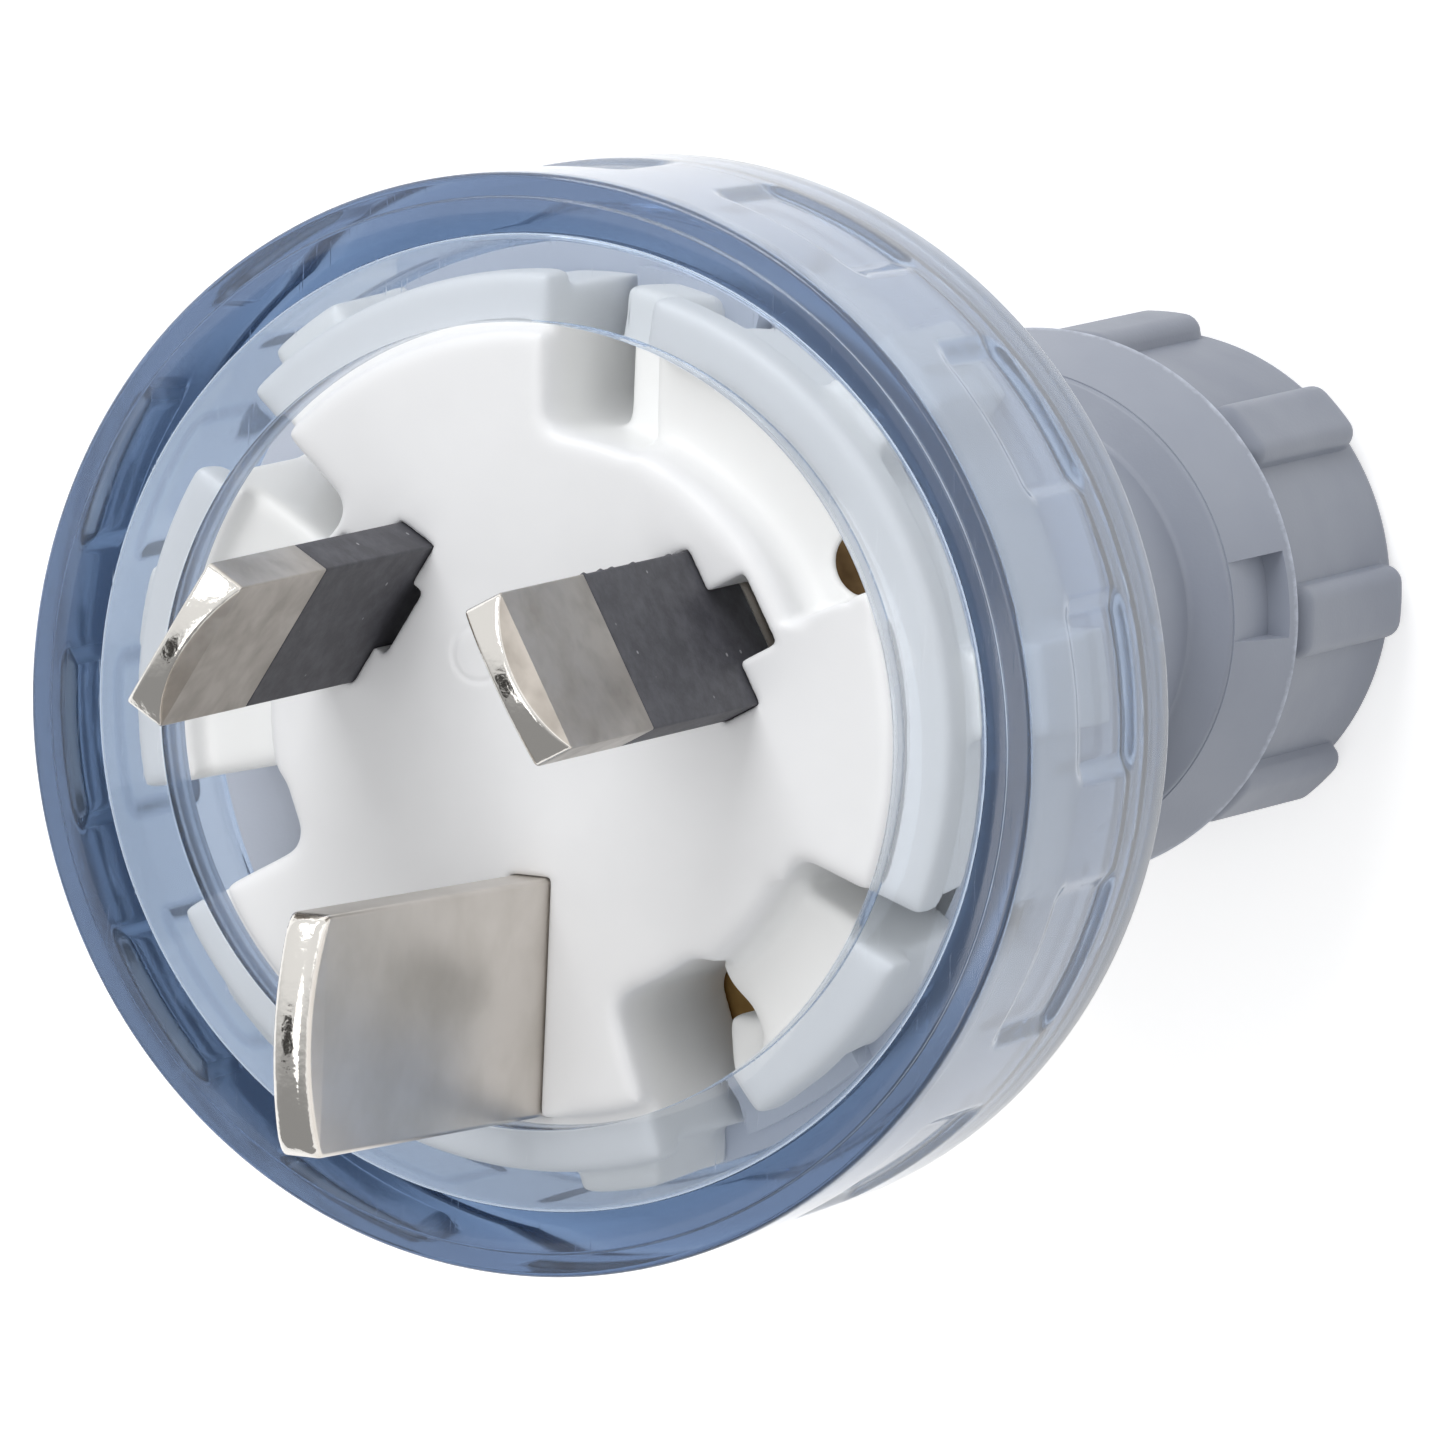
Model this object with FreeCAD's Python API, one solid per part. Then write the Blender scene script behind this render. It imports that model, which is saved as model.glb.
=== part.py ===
"""Rewirable three-pin plug, type I, with flat blades for a 15 A socket.

A clear ring cover clamps a white pin carrier on the rim of a grey bell housing. Brass terminals
hang behind the carrier, inside the bell. The housing ends in a collar and a threaded spigot,
where a ribbed gland nut squeezes a rubber grommet round the cord.

Units are millimetres. The plug stands on its gland nut: the origin is the centre of the nut's
flat rear face, +Z runs along the axis towards the pins, and the earth pin lies on the -Y side.
"""
import FreeCAD, Part
import math
import os

# Lengths along the axis, from the nut's rear face up to the rim of the housing.
NUT_LENGTH = 11.4
NUT_GAP = 0.3
COLLAR_LENGTH = 3.7
STEP_SLOPE = 0.5
NECK_LENGTH = 5.4
BELL_LENGTH = 21.5
BELL_STRAIGHT = 5.2

# Blades: active and neutral are alike and lie on a circle, the earth blade lies radially.
LINE_WIDTH = 6.35
LINE_REACH = 17.06
LINE_RADIUS = 7.92
LINE_ANGLES = {"active": 30.0, "neutral": 150.0}
EARTH_WIDTH = 9.08
EARTH_REACH = 19.94
EARTH_RADIUS = 10.31
BLADE_THICKNESS = 1.63
TIP_CROWN = 1.15
TIP_BEVEL = 0.36
LINE_CORNER = 0.45
EARTH_CORNER = 1.1
SLOT_CLEARANCE = 0.08
TANG_WIDTH = 5.0
TANG_LENGTH = 7.0

# Insulating sleeves, flush with the blades, over a thinner core.
SLEEVE_REACH = 8.8
SLEEVE_ROOT = 3.0
SLEEVE_WALL = 0.35

# Pin carrier: a face disc, a clamped flange and a deep body.
DISC_HEIGHT = 1.1
FLANGE_WIDTH = 2.15
FLANGE_THICKNESS = 2.1
BODY_STEP = 0.6
BODY_DEPTH = 9.5
CORE_RADIUS = 4.6
CORE_FLOOR = 3.2
LEDGE_DEPTH = 2.1
LEDGE_WALL_RADIUS = 11.4
LEDGE_ROUND = 0.8
LEDGE_RIM_RADIUS = 15.0
LEDGE_SPANS = ((25.0, 70.0), (-49.0, -26.0), (149.0, 195.0))
NOTCH_TOP_RADIUS = 11.0
NOTCH_LOW_RADIUS = 10.6
NOTCH_NARROW_RADIUS = 11.6
NOTCH_SIDE_RADIUS = 10.9
NOTCH_SPANS = ((69.0, 91.0, NOTCH_TOP_RADIUS), (-70.0, -48.0, NOTCH_LOW_RADIUS),
               (-27.0, -20.0, NOTCH_NARROW_RADIUS), (138.0, 150.0, NOTCH_SIDE_RADIUS),
               (194.0, 210.0, NOTCH_SIDE_RADIUS))
NOTCH_CORNER = 0.9
SLIT_SPAN = (25.0, 31.0)
SLIT_RADIUS = 14.0
POCKET_WIDTH = 2.9
OUTER_POCKET_REACH = 1.7
OUTER_POCKET_DEPTH = 3.6
INNER_POCKET_REACH = 0.55
INNER_POCKET_DEPTH = 2.0
GUIDE_ANGLES = (8.0, 47.0, 130.0, 172.0, 225.0, 280.0)
GUIDE_WIDTH = 3.4
GUIDE_CLEARANCE = 0.35
GATE_X = -2.5
GATE_Y = 2.1
GATE_RADIUS = 1.1
GATE_WIDTH = 0.25
GATE_HEIGHT = 0.12

# Brass terminals, their screws and the retainer behind them.
BLOCK_BACK_WALL = 1.455
BLOCK_SCREW_WALL = 0.35
BLOCK_WIDTH = 6.8
BLOCK_HEIGHT = 8.4
TANG_CLEARANCE = 0.05
WIRE_WALL = 0.565
WIRE_RADIUS = 1.75
WIRE_HOLE_DEPTH = 7.2
SCREW_DROP = 4.2
SCREW_RADIUS = 1.55
SCREW_CLEARANCE = 0.05
SCREW_BITE = 1.5
SCREW_HEAD_RADIUS = 2.1
SCREW_HEAD_HEIGHT = 1.5
DRIVER_SLOT_WIDTH = 0.6
DRIVER_SLOT_DEPTH = 0.7
RETAINER_CLEARANCE = 1.8
RETAINER_THICKNESS = 1.5
RETAINER_WIRE_RADIUS = 2.1
RETAINER_EYE_RADIUS = 2.6
PILLAR_RADIUS = 2.2
PILLAR_CIRCLE = 9.0
PILLAR_ANGLES = (90.0, 210.0, 330.0)
FIXING_RADIUS = 1.3
FIXING_CLEARANCE = 0.1
FIXING_BITE = 4.0
FIXING_HEAD_RADIUS = 2.3
FIXING_HEAD_HEIGHT = 1.5

# Clear ring cover.
COVER_WALL = 1.95
COVER_FLARE = 0.4
COVER_LIP = 0.9
COVER_OPENING_CLEARANCE = 0.35
COVER_SIDE = 13.5
COVER_FLANGE_GAP = 1.45
COVER_EDGE_ROUND = 0.25
COVER_LAND_WIDTH = 0.9
COVER_LAND_DROP = 0.12
GRIP_COUNT = 12
GRIP_RIB_ANGLE = 22.6
GRIP_RIB_WIDTH = 3.4
GRIP_FRONT = 3.5
GRIP_REAR = 9.4
GRIP_DEPTH = 0.75
GRIP_ROUND = 0.7

# Rear housing.
THREAD_CLEARANCE = 0.25
RIM_WIDTH = 2.8
RIM_THREAD_LENGTH = 3.2
BELL_STEP = 0.7
BORE_DROP = 1.3
NECK_RADIUS = 8.0
NECK_WALL = 2.0
KEY_SPANS = ((70.5, 89.5), (-68.5, -49.5))
KEY_HEIGHT = 1.6
COLLAR_STEP = 1.6
COLLAR_FLARE = 1.3
COLLAR_EDGE_ROUND = 0.25
LATCH_ANGLES = (7.6, 187.6)
LATCH_WIDTH = 3.5
LATCH_LENGTH = 2.9
LATCH_REAR_WALL = 0.65
LATCH_DEPTH = 0.9
SPIGOT_GAP = 0.6
SPIGOT_WALL = 1.1
SEAT_DEPTH = 0.7

# Gland nut and what it squeezes.
NUT_WALL = 1.5
NUT_REAR_WALL = 2.1
NUT_HOLE_RADIUS = 5.6
NUT_EDGE_ROUND = 0.8
NUT_RIB_COUNT = 8
NUT_RIB_WIDTH = 3.1
NUT_RIB_REACH = 0.85
NUT_RIB_ROUND = 0.765
NUT_RIB_FRONT_GAP = 0.9
WASHER_THICKNESS = 0.8
WASHER_LIP = 0.2
WASHER_CLEARANCE = 0.25
CLAMP_LENGTH = 2.6
CLAMP_WALL = 1.7
CLAMP_SLIT_COUNT = 6
CLAMP_SLIT_WIDTH = 0.8
CLAMP_SLIT_DEPTH = 1.7
GROMMET_CLEARANCE = 0.2
GROMMET_BORE_RADIUS = 4.6
GROMMET_CHAMFER = 0.5

# Levels that follow from the sizes above.
COLLAR_BOTTOM = NUT_LENGTH + NUT_GAP
COLLAR_TOP = COLLAR_BOTTOM + COLLAR_LENGTH
STEP_TOP = COLLAR_TOP + STEP_SLOPE
NECK_TOP = STEP_TOP + NECK_LENGTH
BELL_TOP = NECK_TOP + BELL_LENGTH
RIM_Z = BELL_TOP + BELL_STRAIGHT
FACE_Z = RIM_Z + BODY_DEPTH
FLANGE_TOP = FACE_Z - DISC_HEIGHT
FLANGE_BOTTOM = FLANGE_TOP - FLANGE_THICKNESS
BLOCK_BOTTOM = RIM_Z - BLOCK_HEIGHT
RETAINER_BOTTOM = BLOCK_BOTTOM - RETAINER_THICKNESS
COVER_TOP = FACE_Z + COVER_LIP
COVER_BOTTOM = COVER_TOP - COVER_SIDE
CLAMP_BOTTOM = NUT_REAR_WALL + WASHER_THICKNESS
CLAMP_TOP = CLAMP_BOTTOM + CLAMP_LENGTH
SPIGOT_END = CLAMP_BOTTOM + SPIGOT_GAP
SEAT_Z = COLLAR_BOTTOM - SEAT_DEPTH

# Radii that follow, from the earth blade's outer edge outwards.
DISC_RADIUS = EARTH_RADIUS + EARTH_WIDTH / 2
FLANGE_RADIUS = DISC_RADIUS + FLANGE_WIDTH
BODY_RADIUS = FLANGE_RADIUS - BODY_STEP
COVER_OPENING_RADIUS = DISC_RADIUS + COVER_OPENING_CLEARANCE
COVER_BORE_RADIUS = FLANGE_RADIUS + COVER_FLANGE_GAP
COVER_REAR_RADIUS = COVER_BORE_RADIUS + COVER_WALL
COVER_FRONT_RADIUS = COVER_REAR_RADIUS + COVER_FLARE
RIM_RADIUS = COVER_BORE_RADIUS - THREAD_CLEARANCE
RIM_INNER_RADIUS = RIM_RADIUS - RIM_WIDTH
BELL_RADIUS = RIM_RADIUS - BELL_STEP
RETAINER_RADIUS = RIM_INNER_RADIUS - RETAINER_CLEARANCE

# Radii that follow from the neck, inside and outside.
NECK_BORE_RADIUS = NECK_RADIUS - NECK_WALL
COLLAR_FRONT_RADIUS = NECK_RADIUS + COLLAR_STEP
COLLAR_REAR_RADIUS = COLLAR_FRONT_RADIUS + COLLAR_FLARE
SPIGOT_BORE_RADIUS = NECK_RADIUS - SPIGOT_WALL
NUT_BORE_RADIUS = NECK_RADIUS + THREAD_CLEARANCE
NUT_CORE_RADIUS = NUT_BORE_RADIUS + NUT_WALL
WASHER_INNER_RADIUS = NUT_HOLE_RADIUS - WASHER_LIP
GRIP_OUTER_RADIUS = SPIGOT_BORE_RADIUS - GROMMET_CLEARANCE

# Places in a terminal block, from the middle of its blade outwards.
TANG_SLOT_HALF = BLADE_THICKNESS / 2 + TANG_CLEARANCE
WIRE_OFFSET = TANG_SLOT_HALF + WIRE_WALL + WIRE_RADIUS
BLOCK_OUTER = WIRE_OFFSET + WIRE_RADIUS + BLOCK_SCREW_WALL
BLOCK_INNER = TANG_SLOT_HALF + BLOCK_BACK_WALL

AXIS = FreeCAD.Vector(0, 0, 1)
ORIGIN = FreeCAD.Vector(0, 0, 0)
OVERCUT = 1.0
NEAR = 1e-6


def turned(shape, degrees):
    """Return a copy of the shape turned about the plug's axis."""
    copy = shape.copy()
    copy.rotate(ORIGIN, AXIS, degrees)
    return copy


def tube(radius, bottom, top, x=0.0, y=0.0):
    """Return a solid cylinder along Z between two heights."""
    return Part.makeCylinder(radius, top - bottom, FreeCAD.Vector(x, y, bottom))


def block(x_range, y_range, z_range):
    """Return a box from its ranges along X, Y and Z."""
    corner = FreeCAD.Vector(x_range[0], y_range[0], z_range[0])
    return Part.makeBox(x_range[1] - x_range[0], y_range[1] - y_range[0],
                        z_range[1] - z_range[0], corner)


def meridian(points):
    """Return a closed face in the XZ plane from (radius, height) corners and arcs.

    A plain pair is a corner. A triple of pairs (start, middle, end) is an arc.
    """
    edges = []
    last = None
    first = None
    for item in points:
        is_arc = isinstance(item[0], tuple)
        start = item[0] if is_arc else item
        start_point = FreeCAD.Vector(start[0], 0, start[1])
        if first is None:
            first = start_point
        if last is not None and last.distanceToPoint(start_point) > NEAR:
            edges.append(Part.makeLine(last, start_point))
        last = start_point
        if is_arc:
            middle = FreeCAD.Vector(item[1][0], 0, item[1][1])
            end = FreeCAD.Vector(item[2][0], 0, item[2][1])
            edges.append(Part.Arc(last, middle, end).toShape())
            last = end
    if last.distanceToPoint(first) > NEAR:
        edges.append(Part.makeLine(last, first))
    return Part.Face(Part.Wire(edges))


def spun(points, degrees=360.0):
    """Return the solid of revolution of a meridian outline."""
    return meridian(points).revolve(ORIGIN, AXIS, degrees)


def rounded(center, radius, start_degrees, end_degrees):
    """Return an arc as (start, middle, end) pairs about a centre in the meridian plane."""
    angles = (start_degrees, (start_degrees + end_degrees) / 2, end_degrees)
    return tuple((center[0] + radius * math.cos(math.radians(angle)),
                  center[1] + radius * math.sin(math.radians(angle))) for angle in angles)


def wedge(inner, outer, start, end, bottom, top):
    """Return a sector of a ring between two angles in degrees."""
    ring = spun([(inner, bottom), (outer, bottom), (outer, top), (inner, top)], end - start)
    return turned(ring, start)


def fused(shapes):
    """Return the union of the shapes as one clean solid."""
    union = shapes[0].multiFuse(shapes[1:]) if len(shapes) > 1 else shapes[0]
    return union.removeSplitter()


def ogee(top_radius, top, bottom_radius, bottom):
    """Return two arcs that run smoothly from one straight wall to a narrower one below it."""
    drop = top_radius - bottom_radius
    run = top - bottom
    bend = (drop ** 2 + run ** 2) / (4 * drop)
    turn = math.degrees(math.asin(run / (2 * bend)))
    upper = rounded((top_radius - bend, top), bend, 0, -turn)
    lower = rounded((bottom_radius + bend, bottom), bend, 180 - turn, 180)
    return upper, lower


def blade(width, reach, corner, root):
    """Return a flat blade with a crowned tip, rounded corners and coined bevels.

    The width lies along Y, the thickness along X, and the blade is centred on the axis.
    """
    half = width / 2
    tip = FACE_Z + reach
    shoulder = tip - TIP_CROWN
    left = FreeCAD.Vector(0, -half, shoulder)
    right = FreeCAD.Vector(0, half, shoulder)
    crown = Part.Arc(left, FreeCAD.Vector(0, 0, tip), right).toShape()
    low_left = FreeCAD.Vector(0, -half, root)
    low_right = FreeCAD.Vector(0, half, root)
    outline = Part.Wire([crown, Part.makeLine(right, low_right), Part.makeLine(low_right, low_left),
                         Part.makeLine(low_left, left)])
    solid = Part.Face(outline).extrude(FreeCAD.Vector(BLADE_THICKNESS, 0, 0))
    solid.translate(FreeCAD.Vector(-BLADE_THICKNESS / 2, 0, 0))
    tip_edges = [edge for edge in solid.Edges
                 if abs(edge.BoundBox.ZMin - shoulder) < NEAR and edge.BoundBox.ZLength < NEAR
                 and edge.BoundBox.YLength < NEAR]
    solid = solid.makeFillet(corner, tip_edges)
    face_x = BLADE_THICKNESS / 2
    for side in (-1, 1):
        bevel = Part.makePolygon([
            FreeCAD.Vector(side * face_x, -width, shoulder),
            FreeCAD.Vector(side * (face_x - TIP_BEVEL), -width, tip),
            FreeCAD.Vector(side * (face_x - TIP_BEVEL), -width, tip + OVERCUT),
            FreeCAD.Vector(side * (face_x + OVERCUT), -width, tip + OVERCUT),
            FreeCAD.Vector(side * (face_x + OVERCUT), -width, shoulder),
            FreeCAD.Vector(side * face_x, -width, shoulder)])
        solid = solid.cut(Part.Face(bevel).extrude(FreeCAD.Vector(0, 2 * width, 0)))
    return solid


def tang():
    """Return the narrow rear end of a blade, which is held in its terminal."""
    half = BLADE_THICKNESS / 2
    return block((-half, half), (-TANG_WIDTH / 2, TANG_WIDTH / 2), (RIM_Z - TANG_LENGTH, RIM_Z))


def sleeve_band(wall):
    """Return the outer box of a sleeve, or its inner one if the wall is taken off."""
    half_x = BLADE_THICKNESS / 2 - wall
    half_y = LINE_WIDTH / 2 - wall
    return block((-half_x, half_x), (-half_y, half_y), (FACE_Z - SLEEVE_ROOT, FACE_Z + SLEEVE_REACH))


def line_blade():
    """Return an active or neutral blade, waisted where its sleeve sits."""
    solid = fused([blade(LINE_WIDTH, LINE_REACH, LINE_CORNER, RIM_Z), tang()])
    waist = sleeve_band(0.0).cut(sleeve_band(SLEEVE_WALL))
    return solid.cut(waist)


def line_sleeve():
    """Return the insulating sleeve of an active or neutral blade."""
    return sleeve_band(0.0).cut(sleeve_band(SLEEVE_WALL))


def earth_blade():
    """Return the longer and wider earth blade, which has no sleeve."""
    return fused([blade(EARTH_WIDTH, EARTH_REACH, EARTH_CORNER, RIM_Z), tang()])


def terminal_block():
    """Return a tunnel terminal: a brass block with a tang slot, a wire hole and a screw hole."""
    solid = block((-BLOCK_INNER, BLOCK_OUTER), (-BLOCK_WIDTH / 2, BLOCK_WIDTH / 2),
                  (BLOCK_BOTTOM, RIM_Z))
    half_y = TANG_WIDTH / 2 + TANG_CLEARANCE
    slot = block((-TANG_SLOT_HALF, TANG_SLOT_HALF), (-half_y, half_y),
                 (RIM_Z - TANG_LENGTH - TANG_CLEARANCE, RIM_Z + OVERCUT))
    wire_hole = tube(WIRE_RADIUS, BLOCK_BOTTOM - OVERCUT, BLOCK_BOTTOM + WIRE_HOLE_DEPTH, WIRE_OFFSET)
    screw_hole = Part.makeCylinder(SCREW_RADIUS + SCREW_CLEARANCE, BLOCK_OUTER - WIRE_OFFSET + OVERCUT,
                                   FreeCAD.Vector(WIRE_OFFSET, 0, RIM_Z - SCREW_DROP),
                                   FreeCAD.Vector(1, 0, 0))
    return solid.cut(slot).cut(wire_hole).cut(screw_hole)


def terminal_screw():
    """Return a slotted cheese-head screw, seated on the outer face of its terminal."""
    level = RIM_Z - SCREW_DROP
    out = FreeCAD.Vector(1, 0, 0)
    head = Part.makeCylinder(SCREW_HEAD_RADIUS, SCREW_HEAD_HEIGHT,
                             FreeCAD.Vector(BLOCK_OUTER, 0, level), out)
    shank = Part.makeCylinder(SCREW_RADIUS, SCREW_BITE,
                              FreeCAD.Vector(BLOCK_OUTER - SCREW_BITE, 0, level), out)
    top = BLOCK_OUTER + SCREW_HEAD_HEIGHT
    slot = block((top - DRIVER_SLOT_DEPTH, top + OVERCUT),
                 (-DRIVER_SLOT_WIDTH / 2, DRIVER_SLOT_WIDTH / 2),
                 (level - SCREW_HEAD_RADIUS - OVERCUT, level + SCREW_HEAD_RADIUS + OVERCUT))
    return fused([head, shank]).cut(slot)


def at_line(shape, angle):
    """Place a shape modelled on the axis at the circle of the line blades."""
    placed = shape.copy()
    placed.translate(FreeCAD.Vector(LINE_RADIUS, 0, 0))
    return turned(placed, angle)


def at_earth(shape):
    """Place a shape modelled on the axis at the earth blade."""
    placed = shape.copy()
    placed.translate(FreeCAD.Vector(0, -EARTH_RADIUS, 0))
    return placed


def blade_slot(width):
    """Return the clearance slot of a blade through the whole carrier."""
    half_x = BLADE_THICKNESS / 2 + SLOT_CLEARANCE
    half_y = width / 2 + SLOT_CLEARANCE
    return block((-half_x, half_x), (-half_y, half_y), (RIM_Z - OVERCUT, FACE_Z + OVERCUT))


def slot_pockets():
    """Return the two pockets beside a sleeved blade, one on each flat."""
    face = BLADE_THICKNESS / 2
    half = POCKET_WIDTH / 2
    outer = block((0, face + OUTER_POCKET_REACH), (-half, half),
                  (FACE_Z - OUTER_POCKET_DEPTH, FACE_Z + OVERCUT))
    inner = block((-face - INNER_POCKET_REACH, 0), (-half, half),
                  (FACE_Z - INNER_POCKET_DEPTH, FACE_Z + OVERCUT))
    return outer.fuse(inner)


def notch(start, end, wall_radius):
    """Return the cutter of a deep notch that is open at the carrier's edge."""
    cutter = wedge(wall_radius, COVER_BORE_RADIUS, start, end, RIM_Z - OVERCUT, FACE_Z + OVERCUT)
    uprights = [edge for edge in cutter.Edges
                if edge.BoundBox.XLength < NEAR and edge.BoundBox.YLength < NEAR
                and math.hypot(edge.BoundBox.XMin, edge.BoundBox.YMin) < wall_radius + NEAR]
    wall_width = wall_radius * math.radians(end - start)
    return cutter.makeFillet(min(NOTCH_CORNER, 0.4 * wall_width), uprights)


def ledge(start, end):
    """Return the cutter of a shallow ledge whose inner wall is rounded at both ends."""
    floor = FACE_Z - LEDGE_DEPTH
    wall = LEDGE_WALL_RADIUS
    outline = [rounded((wall - LEDGE_ROUND, FACE_Z - LEDGE_ROUND), LEDGE_ROUND, 90, 0),
               rounded((wall + LEDGE_ROUND, floor + LEDGE_ROUND), LEDGE_ROUND, 180, 270),
               (LEDGE_RIM_RADIUS, floor),
               (LEDGE_RIM_RADIUS, FACE_Z + OVERCUT),
               (wall - LEDGE_ROUND, FACE_Z + OVERCUT)]
    return turned(spun(outline, end - start), start)


def carrier_guides():
    """Return the small ribs that centre the carrier in the cover."""
    reach = COVER_BORE_RADIUS - GUIDE_CLEARANCE
    limit = tube(reach, RIM_Z, FLANGE_BOTTOM)
    rib = block((BODY_RADIUS - OVERCUT, reach + OVERCUT), (-GUIDE_WIDTH / 2, GUIDE_WIDTH / 2),
                (RIM_Z, FLANGE_BOTTOM)).common(limit)
    return [turned(rib, angle) for angle in GUIDE_ANGLES]


def pin_carrier():
    """Return the white carrier with its ledges, notches, slots and fixing holes."""
    body = spun([(0, RIM_Z), (BODY_RADIUS, RIM_Z), (BODY_RADIUS, FLANGE_BOTTOM),
                 (FLANGE_RADIUS, FLANGE_BOTTOM), (FLANGE_RADIUS, FLANGE_TOP),
                 (DISC_RADIUS, FLANGE_TOP), (DISC_RADIUS, FACE_Z), (0, FACE_Z)])
    gate = tube(GATE_RADIUS, FACE_Z, FACE_Z + GATE_HEIGHT, GATE_X, GATE_Y).cut(
        tube(GATE_RADIUS - GATE_WIDTH, FACE_Z, FACE_Z + GATE_HEIGHT, GATE_X, GATE_Y))
    body = fused([body, gate] + carrier_guides())
    cuts = [ledge(start, end) for start, end in LEDGE_SPANS]
    cuts += [notch(*span) for span in NOTCH_SPANS]
    cuts.append(wedge(SLIT_RADIUS, LEDGE_RIM_RADIUS, *SLIT_SPAN, RIM_Z - OVERCUT, FACE_Z))
    for angle in LINE_ANGLES.values():
        cuts.append(at_line(blade_slot(LINE_WIDTH), angle))
        cuts.append(at_line(slot_pockets(), angle))
    cuts.append(at_earth(blade_slot(EARTH_WIDTH)))
    cuts.append(tube(CORE_RADIUS, RIM_Z - OVERCUT, FACE_Z - CORE_FLOOR))
    for angle in PILLAR_ANGLES:
        hole = tube(FIXING_RADIUS, RIM_Z - OVERCUT, RIM_Z + FIXING_BITE + FIXING_CLEARANCE, PILLAR_CIRCLE)
        cuts.append(turned(hole, angle))
    return body.cut(cuts).removeSplitter()


def pin_retainer():
    """Return the plate behind the terminals, on three hollow pillars."""
    plate = tube(RETAINER_RADIUS, RETAINER_BOTTOM, BLOCK_BOTTOM)
    pillar = tube(PILLAR_RADIUS, BLOCK_BOTTOM, RIM_Z, PILLAR_CIRCLE)
    hole = tube(FIXING_RADIUS + FIXING_CLEARANCE, RETAINER_BOTTOM - OVERCUT, RIM_Z + OVERCUT, PILLAR_CIRCLE)
    wire_hole = tube(RETAINER_WIRE_RADIUS, RETAINER_BOTTOM - OVERCUT, BLOCK_BOTTOM + OVERCUT, WIRE_OFFSET)
    solid = fused([plate] + [turned(pillar, angle) for angle in PILLAR_ANGLES])
    cuts = [turned(hole, angle) for angle in PILLAR_ANGLES]
    cuts += [at_line(wire_hole, angle) for angle in LINE_ANGLES.values()]
    cuts.append(at_earth(wire_hole))
    cuts.append(tube(RETAINER_EYE_RADIUS, RETAINER_BOTTOM - OVERCUT, BLOCK_BOTTOM + OVERCUT))
    return solid.cut(cuts)


def retainer_screws():
    """Return the screws that hold the retainer and the carrier together."""
    shank = tube(FIXING_RADIUS, RETAINER_BOTTOM, RIM_Z + FIXING_BITE, PILLAR_CIRCLE)
    head = tube(FIXING_HEAD_RADIUS, RETAINER_BOTTOM - FIXING_HEAD_HEIGHT, RETAINER_BOTTOM, PILLAR_CIRCLE)
    slot = block((PILLAR_CIRCLE - FIXING_HEAD_RADIUS - OVERCUT, PILLAR_CIRCLE + FIXING_HEAD_RADIUS + OVERCUT),
                 (-DRIVER_SLOT_WIDTH / 2, DRIVER_SLOT_WIDTH / 2),
                 (RETAINER_BOTTOM - FIXING_HEAD_HEIGHT - OVERCUT,
                  RETAINER_BOTTOM - FIXING_HEAD_HEIGHT + DRIVER_SLOT_DEPTH))
    screw = fused([shank, head]).cut(slot)
    return Part.makeCompound([turned(screw, angle) for angle in PILLAR_ANGLES])


def front_cover():
    """Return the clear ring with its front lip, edge land and ring of grip pockets."""
    land_radius = COVER_FRONT_RADIUS - COVER_LAND_WIDTH
    land_top = COVER_TOP - COVER_LAND_DROP
    edge = rounded((COVER_FRONT_RADIUS - COVER_EDGE_ROUND, land_top - COVER_EDGE_ROUND),
                   COVER_EDGE_ROUND, 90, 0)
    shell = spun([(COVER_OPENING_RADIUS, FLANGE_TOP), (COVER_BORE_RADIUS, FLANGE_TOP),
                  (COVER_BORE_RADIUS, COVER_BOTTOM), (COVER_REAR_RADIUS, COVER_BOTTOM),
                  edge[::-1], (land_radius, land_top), (land_radius, COVER_TOP),
                  (COVER_OPENING_RADIUS, COVER_TOP)])
    pitch = 360.0 / GRIP_COUNT
    rib_angle = math.degrees(GRIP_RIB_WIDTH / COVER_FRONT_RADIUS)
    floor = COVER_REAR_RADIUS - GRIP_DEPTH
    outside = COVER_FRONT_RADIUS + OVERCUT
    front = FACE_Z - GRIP_FRONT
    rear = FACE_Z - GRIP_REAR
    outline = [(outside, front), (floor + GRIP_ROUND, front),
               rounded((floor + GRIP_ROUND, front - GRIP_ROUND), GRIP_ROUND, 90, 180),
               rounded((floor + GRIP_ROUND, rear + GRIP_ROUND), GRIP_ROUND, 180, 270),
               (outside, rear)]
    pocket = turned(spun(outline, pitch - rib_angle), GRIP_RIB_ANGLE + rib_angle / 2)
    return shell.cut([turned(pocket, pitch * index) for index in range(GRIP_COUNT)])


def latch_pocket():
    """Return the cutter of a ramped pocket in the collar, deepest at its rear wall."""
    low = COLLAR_BOTTOM + LATCH_REAR_WALL
    high = low + LATCH_LENGTH
    slope = (COLLAR_REAR_RADIUS - COLLAR_FRONT_RADIUS) / COLLAR_LENGTH
    skin_low = COLLAR_REAR_RADIUS - slope * LATCH_REAR_WALL
    skin_high = COLLAR_REAR_RADIUS - slope * (LATCH_REAR_WALL + LATCH_LENGTH)
    half = LATCH_WIDTH / 2
    outline = Part.makePolygon([
        FreeCAD.Vector(skin_low - LATCH_DEPTH, -half, low),
        FreeCAD.Vector(skin_high, -half, high),
        FreeCAD.Vector(COLLAR_REAR_RADIUS + OVERCUT, -half, high),
        FreeCAD.Vector(COLLAR_REAR_RADIUS + OVERCUT, -half, low),
        FreeCAD.Vector(skin_low - LATCH_DEPTH, -half, low)])
    return Part.Face(outline).extrude(FreeCAD.Vector(0, LATCH_WIDTH, 0))


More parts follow.
